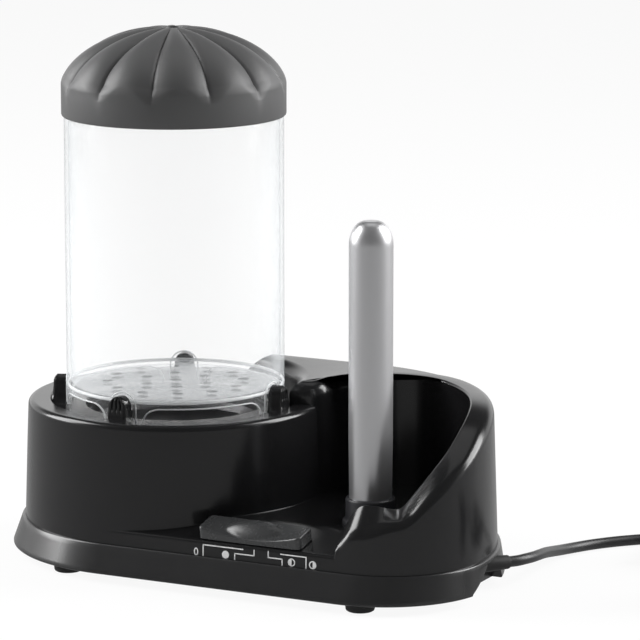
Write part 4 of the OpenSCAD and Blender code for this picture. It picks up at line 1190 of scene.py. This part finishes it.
    def shoulder_ring(self, z: float, d: float) -> list[Vector]:
        """The raised shoulder's plan at a height, drawn in by d for its round edge."""
        p = self.plan
        left = self.shoulder_x + max(0.0, z - self.deck_floor_z + 1) + 0.4 * d
        y, r = self.shoulder_y + d + self.skin, self.shoulder_r + d
        corner = Vector((math.sqrt(r * r - y * y), y))
        inset = p.inset(min(z, p.rim_z - 6)) + d + self.skin
        turn = math.degrees(math.acos(left / r))
        end_a = self.pocket_a + 3
        ring = arc((0, 0), r, turn, math.degrees(math.atan2(corner.y, corner.x)), 40)
        ring += arc(self.nose, self.nose_r - d - self.skin, -90, -15, 16)
        ring += arc(self.pocket, self.pocket_r + p.wall_t / 2, 160, end_a, 40)
        ring += arc(p.wall_back, p.back_r - inset, end_a, 90, 40)
        ring.append(Vector((left, p.base_r - inset)))
        return raised(ring, z)

    def shoulder(self) -> None:
        """The raised shoulder behind the container, with round edges and a ramp at its left end."""
        p = self.plan
        r, top = self.edge_r, p.rim_z - self.tuck_z
        levels = [(z, 0.0) for z in (p.foot_z, 45, self.deck_floor_z - 1, 80, 83)]
        for i in range(13):
            a = math.radians(7.5 * i)
            levels.append((top - r + r * math.sin(a), r * (1 - math.cos(a))))
        self.add(Bench.lofted([self.shoulder_ring(z, d) for z, d in levels]), "shoulder", 40)

    def tray(self) -> None:
        """The tray's floor and sloping panel in one sheet, with the switch's slot."""
        p = self.plan
        front = p.panel_front_y + self.front_in
        edge = [s.inner + (s.thin + 2) * s.out for s in self.stations[:-3]]
        edge = [v for v in edge if v.y > front + 0.01]
        plan = edge + [Vector((edge[-1].x, front)), Vector((0, front)), Vector((0, 0))]
        bm = bmesh.new()
        verts, _ = Bench.chain(bm, raised(plan, 0))
        bmesh.ops.contextual_create(bm, geom=verts)
        crease, soft = p.panel_front_y + p.panel_w, round(p.crease_soft)
        for off in range(-soft, soft + 1):
            bmesh.ops.bisect_plane(bm, geom=[*bm.verts, *bm.edges, *bm.faces],
                                   plane_co=(0, crease + off, 0), plane_no=(0, 1, 0))
        for vert in bm.verts:
            vert.co.z = p.panel_z(vert.co.y)
        bmesh.ops.recalc_face_normals(bm, faces=bm.faces)
        if sum(f.normal.z for f in bm.faces) < 0:
            bmesh.ops.reverse_faces(bm, faces=bm.faces)
        bmesh.ops.solidify(bm, geom=bm.faces[:], thickness=self.shell_t)
        Bench.carve(bm, SlideCap().slot_cutter())
        self.add(bm, "tray_floor", 30)

    def front(self) -> None:
        """The low front wall with its soft crease, tucked under the panel."""
        p = self.plan
        start, inner = p.panel_front_y + self.front_in, p.panel_front_y + self.front_in + self.tuck
        slope = p.panel_drop / p.panel_w
        crease_z, foot_y = p.floor_z - p.panel_drop, -p.tower_r(p.foot_z)
        a = Vector((p.panel_front_y + 2.0, crease_z + 2.0 * slope))
        b = Vector((p.panel_front_y, crease_z))
        c = Vector((-p.tower_r(crease_z - 1.6), crease_z - 1.6))
        section = [Vector((y, p.panel_z(y) - self.tuck_z)) for y in (inner, start)] + bent(a, b, c, 8)
        section += [Vector((foot_y, p.foot_z)), Vector((foot_y + self.shell_t, p.foot_z)),
                    Vector((inner, p.foot_z + self.tuck))]
        spans = (0.0, 60.0, p.wall_lobe.x - self.horn_l)
        self.add(Bench.lofted([[(x, v.x, v.y) for v in section] for x in spans]), "tray_front", 40)

    def fillet(self) -> None:
        """The hollow round where the tower meets the tray's floor and panel."""
        p = self.plan
        wall = p.tower_r(p.floor_z)
        first, last = self.fillet_a
        quarter = [math.radians(15 * k) for k in range(7)]
        rings, count = [], 96
        for i in range(count + 1):
            theta = first + (last - first) * i / count
            size = self.fillet_r * ease((theta - first) / 14)
            section = [(-0.6, size + 0.1)]
            section += [(size * (1 - math.cos(a)), size * (1 - math.sin(a))) for a in quarter]
            section += [(size, -1.0), (-0.6, -1.0)]
            spots = [((wall + off) * heading(theta), up) for off, up in section]
            rings.append([Vector((*spot, p.panel_z(spot.y) + up)) for spot, up in spots])
        self.add(Bench.lofted(rings), "tower_fillet", 50)

    def build(self) -> None:
        """Makes every part of the housing."""
        for part in (self.tower, self.wall, self.shoulder, self.tray, self.front, self.fillet):
            part()


@dataclass
class Skirt:
    """The flared skirt with the bottom plate and the notch for the lead."""

    plan: Plan = PLAN
    low_z: float = 4.5
    foot: Pairs = ((0.0, 1.0), (0.08, 0.5), (0.35, 0.16))
    flare: tuple[float, ...] = (5.4, 7, 10, 13, 16, 18.2)
    flare_z: float = 5.0
    flare_h: float = 13.5
    flare_in: float = 4.9
    lip: Pairs = (
        (0.45, 5.0), (0.2, 5.2), (0.05, 5.5), (0.0, 5.85), (0.0, 6.47), (2.2, 6.4))
    notch_x: float = 179.0
    notch_w: float = 19.0
    notch: Triples = (
        (3.5, -41, 0), (5.5, -41, 0), (16, -23, -4.5), (17, -23, -4.5))

    def build(self) -> None:
        """Lofts the straight flare and cuts the notch."""
        p = self.plan
        levels = [(self.low_z + up, inset, 0.0) for up, inset in self.foot]
        for z in self.flare:
            share = (z - self.flare_z) / self.flare_h
            levels.append((z, self.flare_in * share, p.wall_out * share))
        levels += [(p.skirt_z - down, inset, p.wall_out) for down, inset in self.lip]
        bm = Bench.lofted([raised(p.outline(inset, out), z) for z, inset, out in levels])
        near, far = self.notch_x, self.notch_x + self.notch_w
        Bench.carve(bm, Bench.lofted([[(near, a, z), (far, a, z), (far, b, z), (near, b, z)]
                                      for z, a, b in self.notch]))
        Bench.piece(bm, "skirt", SKIRT_BLACK, "skirt_black", ("bottom_shell",), crease=30)


@dataclass
class Container:
    """The clear container, its steam holes and the arches between its legs."""

    plan: Plan = PLAN
    thick: float = 2.0
    foot_z: float = 77.2
    height: float = 159.0
    floor_h: float = 11.0
    floor_t: float = 2.2
    arch_h: float = 7.0
    arch_soft: float = 9.0
    leg_w: float = 22.0
    steam_d: float = 6.0
    steam_rows: float = 3.2
    bead_r: float = 0.42
    hood_r: float = 7.3
    hood_z: float = 7.6
    legs: tuple[float, ...] = (0, 114, 204, 270, 360)

    def build(self) -> None:
        """Turns the container and cuts its arches and holes."""
        r, z = self.plan.jar_r, self.foot_z
        inner, top, floor = r - self.thick, z + self.height, z + self.floor_h
        under = floor - self.floor_t
        profile = [(0, under), (inner - 1, under), (inner, under - 1), (inner, z + 0.3), (inner + 0.3, z),
                   (r - 0.3, z), (r, z + 0.3), (r, top - 0.6), (r - 0.2, top - 0.15), (r - 0.7, top),
                   (inner + 0.7, top), (inner + 0.2, top - 0.15), (inner, top - 0.6), (inner, floor + 2.0),
                   (inner - 0.3, floor + 0.8), (inner - 1.2, floor), (0, floor)]
        bm = Bench.turned(profile, 176, closed=False)
        Bench.carve(bm, self.cutters())
        Bench.piece(bm, "clear_container", CLEAR, "clear_plastic", ("container",), Body.CONTAINER, 40)
        self.beads()

    def arch(self, left: float, right: float, count: int = 36) -> list[Pair]:
        """Angles and heights along the arch between two legs.

        Args:
            left: angle of the leg where it starts.
            right: angle of the leg where it ends.
            count: steps along it.

        Returns:
            Pairs of an angle in degrees and a height.
        """
        leg_a = 2 * math.degrees(math.asin(self.leg_w / 2 / self.plan.jar_r))
        half, soft = (right - left - leg_a) / 2, self.arch_soft
        line = []
        for i in range(count + 1):
            a = -half * math.cos(math.pi * i / count)
            near = max(0.0, abs(a) - (half - soft)) / soft
            up = 0.02 + self.arch_h * math.sqrt(max(0.0, 1 - near ** 2))
            line.append(((left + right) / 2 + a, self.foot_z + up))
        return line

    def beads(self) -> None:
        """The thickened edges: a bead on each arch, one round each lug and a ring at the floor, whose pale
        finish paints their highlight.
        """
        r, floor = self.plan.jar_r, self.foot_z + self.floor_h
        bm = Bench.turned([(r - 0.6 + 0.75 * v.x, floor - 0.6 + 0.9 * v.y)
                           for v in map(heading, range(0, 360, 36))], 144)
        side = [(self.hood_r, h) for h in (0.5, 3, 6)]
        hood = side + [(self.hood_r * v.x, self.hood_z + self.hood_r * v.y)
                       for v in map(heading, range(0, 181, 12))]
        hood += [(-y, h) for y, h in reversed(side)]
        for left, right in zip(self.legs, self.legs[1:]):
            self.bead(bm, [Vector((*((r - 0.3) * heading(a)), z + 0.1)) for a, z in self.arch(left, right)])
            self.bead(bm, [Vector((*(r * heading(left + math.degrees(y / r))), self.foot_z + h))
                           for y, h in hood])
        Bench.piece(bm, "container_edges", CLEAR_EDGE_HIGHLIGHT, "clear_plastic", (), Body.CONTAINER, 60)

    def bead(self, bm: Shape, path: Sequence[Vector]) -> None:
        """A thin round bead along a path on the wall.

        Args:
            bm: the mesh to draw in.
            path: the bead's middle line.
        """
        circle = [heading(a) for a in range(0, 360, 45)]
        rings = []
        for before, here, after in zip([path[0], *path], path, [*path[1:], path[-1]]):
            out = Vector((here.x, here.y, 0)).normalized()
            side = (after - before).normalized().cross(out)
            rings.append([here + self.bead_r * (v.x * out + v.y * side) for v in circle])
        Bench.loft(bm, rings)

    def cutters(self) -> Shape:
        """Shapes that open the arches and the steam holes."""
        bm = bmesh.new()
        r = self.plan.jar_r
        for left, right in zip(self.legs, self.legs[1:]):
            Bench.loft(bm, [[Vector((*(heading(a) * d), h)) for d, h in (
                (r - 5, self.foot_z - 1), (r + 3, self.foot_z - 1), (r + 3, top), (r - 5, top))]
                for a, top in self.arch(left, right)])
        spots = [(0.0, 0.0)]
        for ring in (1, 2):
            spots += [(ring * r / self.steam_rows, i * 60 / ring) for i in range(6 * ring)]
        for reach, angle in spots:
            place = Matrix.Translation((*(reach * heading(angle)), self.foot_z + self.floor_h))
            bmesh.ops.create_cone(bm, cap_ends=True, segments=24, radius1=self.steam_d / 2,
                                  radius2=self.steam_d / 2, depth=10, matrix=place)
        return bm


@dataclass
class Lid:
    """The lid: an upright band under a dome of rounded lobes with sharp creases."""

    radius: float = 57.3
    low_z: float = 226.2
    band_h: float = 16.0
    dome_h: float = 28.7
    dome_p: float = 2.2
    dome_q: float = 0.62
    lobes: int = 12
    crease_d: float = 2.8
    crease_low: float = 4.0
    crease_run: float = 9.0
    groove_d: float = 0.45
    groove_w: float = 0.16
    groove_run: float = 12.0
    turn: float = -12.8
    roof_t: float = 3.08
    vent_r: float = 4.0
    bore_r: float = 56.3
    seat_r: float = 52.0
    seat_z: float = 236.4
    fine: int = 36

    @property
    def band_z(self) -> float:
        """Height where the dome starts."""
        return self.low_z + self.band_h

    def dome(self, r: float) -> float:
        """Height of the smooth dome at a radius."""
        share = max(0.0, 1 - (r / self.radius) ** self.dome_p)
        return self.band_z + self.dome_h * share ** self.dome_q

    def across(self, r: float) -> Vector:
        """The smooth dome's outward direction at a radius."""
        p, q, share = self.dome_p, self.dome_q, r / self.radius
        if share > 0.9999:
            return Vector((1, 0))
        slope = p * q * self.dome_h / self.radius * share ** (p - 1) * (1 - share ** p) ** (q - 1)
        return Vector((slope, 1)).normalized()

    def crease(self, r: float, z: float, turn: float) -> float:
        """Depth of the creases: none at the vent, most at the shoulder, pointed ends under the dome."""
        end = min(1.0, max(0.0, (z - self.band_z + self.crease_low) / self.crease_run))
        start = ease((r - 1.1 * self.vent_r) / (6.5 * self.vent_r)) ** 0.7
        off = abs(math.sin(turn * self.lobes / 2))
        valley = max(0.0, 1 - off / (0.4 + 0.6 * end)) ** 1.2
        groove = max(0.0, 1 - off / self.groove_w) * ease((r - self.vent_r) / self.groove_run)
        return end * (self.crease_d * start * valley + self.groove_d * groove)

    def build(self) -> None:
        """Turns the lid and presses its creases in."""
        rings, v = 56, self.vent_r
        outer = []
        for i in range(rings + 1):
            r = v + 0.6 + (self.radius - v - 0.6) * math.sin(math.pi / 2 * i / rings)
            outer.append((r, self.dome(r)))
        inner = []
        for i in range(16, 0, -1):
            r = v + (self.seat_r - v) * i / 16
            inner.append((r, self.dome(r) - self.roof_t))
        top = self.dome(v)
        profile = [(v, top - 1.3), (v + 0.1, top - 0.7), (v + 0.3, top - 0.25)] + outer
        profile += [(self.radius, self.band_z - 0.5 * i) for i in range(1, 9)]
        profile += [(self.radius, self.low_z + 1.0), (self.radius - 0.25, self.low_z + 0.3),
                    (self.radius - 0.6, self.low_z), (self.bore_r, self.low_z), (self.bore_r, self.seat_z),
                    (self.seat_r, self.seat_z)] + inner + [(v, top - self.roof_t)]
        bm = Bench.turned(profile, self.lobes * self.fine)
        for vert in bm.verts:
            r, z = vert.co.xy.length, vert.co.z
            if z > self.band_z - self.crease_low and r > v + 0.4:
                depth = self.crease(r, z, math.atan2(vert.co.y, vert.co.x))
                deep = depth * self.across(min(r, self.radius))
                vert.co = (*(vert.co.xy * (1 - deep.x / r)), z - deep.y)
        Bench.move(bm, rotation(self.turn))
        Bench.piece(bm, "lid_dome", LID_GREY, "lid_grey", ("lid",), Body.LID, 38)


@dataclass
class Lugs:
    """Four lugs round the container, with a round top, ribs and a foot that flares into the deck."""

    plan: Plan = PLAN
    thick: float = 7.5
    top_t: float = 6.5
    width: float = 12.0
    top_r: float = 4.9
    height: float = 14.0
    deck_z: float = 77.0
    sink: float = 0.2
    gap: float = 0.3
    flare: float = 2.4
    flare_h: float = 4.0
    flare_side: float = 0.8
    groove_d: float = 1.0
    groove_z: float = 6.0
    groove_run: float = 3.0
    groove_waves: float = 4.2
    edge_r: float = 1.3
    angles: tuple[float, ...] = (0, 114, 204, 270)
    low_levels: tuple[float, ...] = (0, 0.4, 0.9, 1.5, 2.2, 3, 4, 5, 6, 7, 8.5)
    top_angles: tuple[float, ...] = (0, 10, 20, 30, 40, 50, 60, 68, 75, 81, 86)

    def section(self, up: float) -> list[Vector]:
        """A level section with grooves down the outer face."""
        bend = self.height - self.top_r
        share = min(1.0, up / bend)
        w = self.width / 2 + (self.top_r - self.width / 2) * share
        if up > bend:
            w = max(0.4, math.sqrt(max(0.0, self.top_r ** 2 - (up - bend) ** 2)))
        flare = self.flare * max(0.0, 1 - up / self.flare_h) ** 2
        wide = w + flare * self.flare_side
        inner = self.plan.jar_r + self.gap
        depth = self.thick + (self.top_t - self.thick) * share - 0.9 * max(0.0, up - self.height + 2.0)
        groove = self.groove_d * ease((up - self.groove_z) / self.groove_run)
        count = 64
        pts = [Vector((inner, -wide))]
        for i in range(count + 1):
            y = -1 + 2 * i / count
            wave = max(0.0, math.cos(self.groove_waves * math.pi * y)) ** 1.5 * (abs(y) < 0.9)
            edge = self.edge_r * max(0.0, (abs(y) - 0.75) / 0.25) ** 2
            pts.append(Vector((inner + depth + flare - groove * wave - edge, y * wide)))
        pts.append(Vector((inner, wide)))
        return raised(pts, self.deck_z - self.sink + up)

    def build(self) -> None:
        """Lofts one lug and turns copies of it round the tower."""
        bend = self.height - self.top_r
        levels = [*self.low_levels]
        levels += [bend + self.top_r * math.sin(math.radians(a)) for a in self.top_angles]
        rings = [self.section(up) for up in levels]
        bm = bmesh.new()
        for angle in self.angles:
            one = Bench.lofted(rings)
            Bench.move(one, rotation(angle))
            Bench.join(bm, one)
        Bench.piece(bm, "lugs", HOUSING_BLACK, "housing_black", ("container_lugs",), crease=35)


@dataclass
class Spike:
    """The heated spike and its collar."""

    place: Pair = (126.0, -30.0)
    radius: float = 11.0
    taper: float = 0.5
    taper_h: float = 40.0
    low_z: float = 35.0
    top_z: float = 185.0
    tip_r: float = 3.0
    tip_h: float = 12.1
    floor_z: float = 33.0
    collar_r: float = 12.5
    collar_h: float = 13.0
    bore_gap: float = 0.15

    def build(self) -> None:
        """Turns the spike and the collar."""
        r, low, bend = self.radius, self.low_z, self.top_z - self.tip_h
        profile = [(0, low), (r - self.taper, low), (r, low + self.taper_h), (r, bend)]
        for i in range(1, 17):
            way = heading(90 * i / 16)
            profile.append((self.tip_r + (r - self.tip_r) * way.x, bend + self.tip_h * way.y))
        profile.append((0, self.top_z))
        Bench.piece(Bench.turned(profile, 128, self.place, closed=False), "bun_spike", SPIKE_METAL,
                    "spike_metal", ("spike",), crease=40)
        c, z, top = self.collar_r, self.floor_z, self.floor_z + self.collar_h
        bore = r - self.taper + self.bore_gap
        collar = [(c + 1.5, z), (c + 1.5, z + 1.2), (c + 1.2, z + 1.8), (c + 0.5, z + 2.0),
                  (c + 0.1, z + 2.4), (c, z + 3), (c, top - 1.2), (c - 0.15, top - 0.6),
                  (c - 0.45, top - 0.15), (c - 0.8, top), (bore, top), (bore, z)]
        Bench.piece(Bench.turned(collar, 96, self.place), "spike_ring", COLLAR_BLACK, "collar_black",
                    ("spike_collar",), crease=40)


@dataclass
class SlideCap:
    """The slide switch's cap on the sloping panel, with a raised almond-shaped grip."""

    plan: Plan = PLAN
    length: float = 56.5
    width: float = 15.0
    height: float = 6.5
    dx: float = 82.25
    front_gap: float = 1.0
    lift: float = 0.3
    corner: float = 2.7
    edge: float = 1.3
    grip_l: float = 31.0
    grip_w: float = 13.0
    grip_h: float = 3.4
    grip_y: float = 0.6
    scoop: float = 3.9
    scoop_l: float = 2.1
    scoop_w: float = 0.92
    slot: Triple = (37.5, 5.0, 20.0)
    slot_dx: float = 3.75
    top_rings: int = 28

    def frame(self) -> Matrix:
        """From the panel's slope to the base, at the cap's middle."""
        p = self.plan
        y = p.panel_front_y + self.width / 2 + self.front_gap
        slope = math.atan(p.panel_drop / p.panel_w)
        place = Matrix.Translation((self.dx, y, p.panel_z(y)))
        return place @ Matrix.Rotation(slope, 4, "X")

    def slot_cutter(self) -> Shape:
        """A block in the place of the switch's slot."""
        bm = bmesh.new()
        bmesh.ops.create_cube(bm, size=1.0)
        bmesh.ops.scale(bm, verts=bm.verts, vec=self.slot)
        Bench.move(bm, self.frame() @ Matrix.Translation((self.slot_dx, 0, 0)))
        return bm

    def ring(self, inset: float, z: float) -> list[Vector]:
        """A rounded rectangle at a height."""
        hx, hy = self.length / 2 - self.corner, self.width / 2 - self.corner
        r = self.corner - inset
        spots = []
        corners = ((hx, hy, 0), (-hx, hy, 90), (-hx, -hy, 180), (hx, -hy, 270))
        for (cx, cy, a), (nx, ny, _) in zip(corners, corners[1:] + corners[:1]):
            spots += arc((cx, cy), r, a, a + 90, 8)
            step = Vector((nx - cx, ny - cy)) / 16
            spots += [spots[-1] + step * i for i in range(1, 16)]
        return raised(spots, z)

    def top_at(self, x: float, y: float) -> float:
        """Height of the cap's top: scooped towards the front, with a raised grip in the middle."""
        along = max(0.0, 1 - (self.scoop_l * x / self.length) ** 2)
        ahead = ease(0.5 - y / (self.scoop_w * self.width))
        bulge = max(0.0, 1 - (2 * x / self.grip_l) ** 2 - ((y + self.grip_y) * 2 / self.grip_w) ** 2)
        return self.height - self.scoop * along * ahead + self.grip_h * bulge ** 0.8

    def build(self) -> None:
        """Lofts the cap in rings that close over its top, shapes the top and sets the cap on the panel."""
        top, e, count = self.height, self.edge, self.top_rings
        levels = [(0.4, 0.0, 1.0), (0.0, 0.35, 1.0), (0.0, 0.4 * top, 1.0), (0.0, top - e, 1.0)]
        levels += [(e * (1 - math.cos(a)), top - e + e * math.sin(a), 1.0)
                   for a in (math.radians(11.25 * i) for i in range(1, 9))]
        levels += [(e, top, 1 - i / count) for i in range(1, count)]
        bm = Bench.lofted([[Vector((v.x * share, v.y * share, z)) for v in self.ring(inset, z)]
                           for inset, z, share in levels])
        for vert in bm.verts:
            vert.co.z *= self.top_at(vert.co.x, vert.co.y) / top
        Bench.move(bm, self.frame() @ Matrix.Translation((0, 0, self.lift)))
        Bench.piece(bm, "slide_cap", CAP_GREY, "cap_grey", ("switch_cap",), Body.SWITCH, 40)


@dataclass
class Marks:
    """The switch's position marks on the low front wall: a nought, dots and bracket lines."""

    plan: Plan = PLAN
    stroke: float = 0.55
    lift: float = 0.45
    proud: float = 0.06
    sunk: float = 0.2
    nought: tuple[float, float, float, float] = (53.26, 20.3, 1.2, 1.95)
    dot: Triple = (69.74, 20.57, 1.95)
    halves: Triples = ((106.26, 20.71, 90), (117.84, 20.68, -90))
    half_r: float = 2.0
    fill_r: float = 1.7
    lines: tuple[Pairs, ...] = (
        ((57.2, 18.56), (57.2, 24.2), (79.3, 24.2)),
        ((74.85, 18.64), (74.85, 21.7), (85.6, 21.7), (85.6, 24.45)),
        ((93.4, 24.7), (93.4, 21.75), (101.1, 21.75), (101.1, 18.7)),
        ((100.3, 24.15), (114.2, 24.15), (114.2, 18.56)))

    def on_wall(self, x: float, z: float, deep: bool) -> Vector:
        """A point on the front wall, or a little inside it."""
        off = -self.sunk if deep else self.proud
        return Vector((x, -self.plan.tower_r(z) - off, z + self.lift))

    def slab(self, bm: Shape, outline: Sequence[Pair]) -> None:
        """A thin plate with an outline in x and z."""
        Bench.loft(bm, [[self.on_wall(x, z, deep) for x, z in outline] for deep in (True, False)])

    def line(self, bm: Shape, points: Sequence[Pair]) -> None:
        """A bracket of straight strokes with square corners."""
        h = self.stroke / 2
        for (x0, z0), (x1, z1) in zip(points, points[1:]):
            left, right, low, high = min(x0, x1) - h, max(x0, x1) + h, min(z0, z1) - h, max(z0, z1) + h
            self.slab(bm, [(left, low), (right, low), (right, high), (left, high)])

    def ring(self, bm: Shape, x: float, z: float, rx: float, rz: float) -> None:
        """An oval ring."""
        loops = []
        for deep, inset in ((True, 0), (False, 0), (False, self.stroke), (True, self.stroke)):
            loops.append([self.on_wall(x + (rx - inset) * c.x, z + (rz - inset) * c.y, deep)
                          for c in (heading(10 * i) for i in range(36))])
        Bench.loft(bm, loops + loops[:1], capped=False)

    def disc(self, bm: Shape, x: float, z: float, r: float, start: float, end: float) -> None:
        """A filled disc or part of one."""
        rim = arc((x, z), r, start, end, 32)
        self.slab(bm, [(v.x, v.y) for v in (rim[:-1] if end - start == 360 else rim)])

    def build(self) -> None:
        """Draws every mark in one piece."""
        bm = bmesh.new()
        for points in self.lines:
            self.line(bm, points)
        self.ring(bm, *self.nought)
        self.disc(bm, *self.dot, 0, 360)
        for x, z, start in self.halves:
            self.ring(bm, x, z, self.half_r, self.half_r)
            self.disc(bm, x, z, self.fill_r, start, start + 180)
        Bench.piece(bm, "switch_marks", INK, "cap_grey", crease=30)


@dataclass
class Feet:
    """Four rubber feet with a soft lower edge."""

    spots: Pairs = ((-25, -69), (141.5, -73.5), (-25, 69), (112.5, 51.5))
    radius: float = 7.5
    height: float = 4.5

    def build(self) -> None:
        """Turns the feet."""
        r, h = self.radius, self.height
        profile = [(0, 0), (r - 2.2, 0), (r - 1.2, 0.15), (r - 0.55, 0.6), (r - 0.3, 1.2),
                   (r - 0.05, h - 0.6), (r, h), (0, h)]
        whole = bmesh.new()
        for spot in self.spots:
            Bench.join(whole, Bench.turned(profile, 64, spot, closed=False))
        Bench.piece(whole, "feet", RUBBER, "rubber_black", ("rubber_feet",), crease=50)


def dress_nodes() -> None:
    """Gives each CAD node that still shows its own finish."""
    for finish, names in NODE_FINISHES.items():
        for name in names:
            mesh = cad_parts[name].data
            mesh.materials.clear()
            mesh.materials.append(finish.material())
            LOG.info("%s: %s", name, finish.name)


def main() -> None:
    """Builds the studio and every sub-assembly."""
    logging.basicConfig(level=logging.INFO, format="%(message)s")
    for part in (Studio(), MainsLead(), Housing(), Skirt(), Container(), Lid(), Lugs(), Spike(), SlideCap(),
                 Marks(), Feet()):
        part.build()
    dress_nodes()


if __name__ == "__main__":
    main()
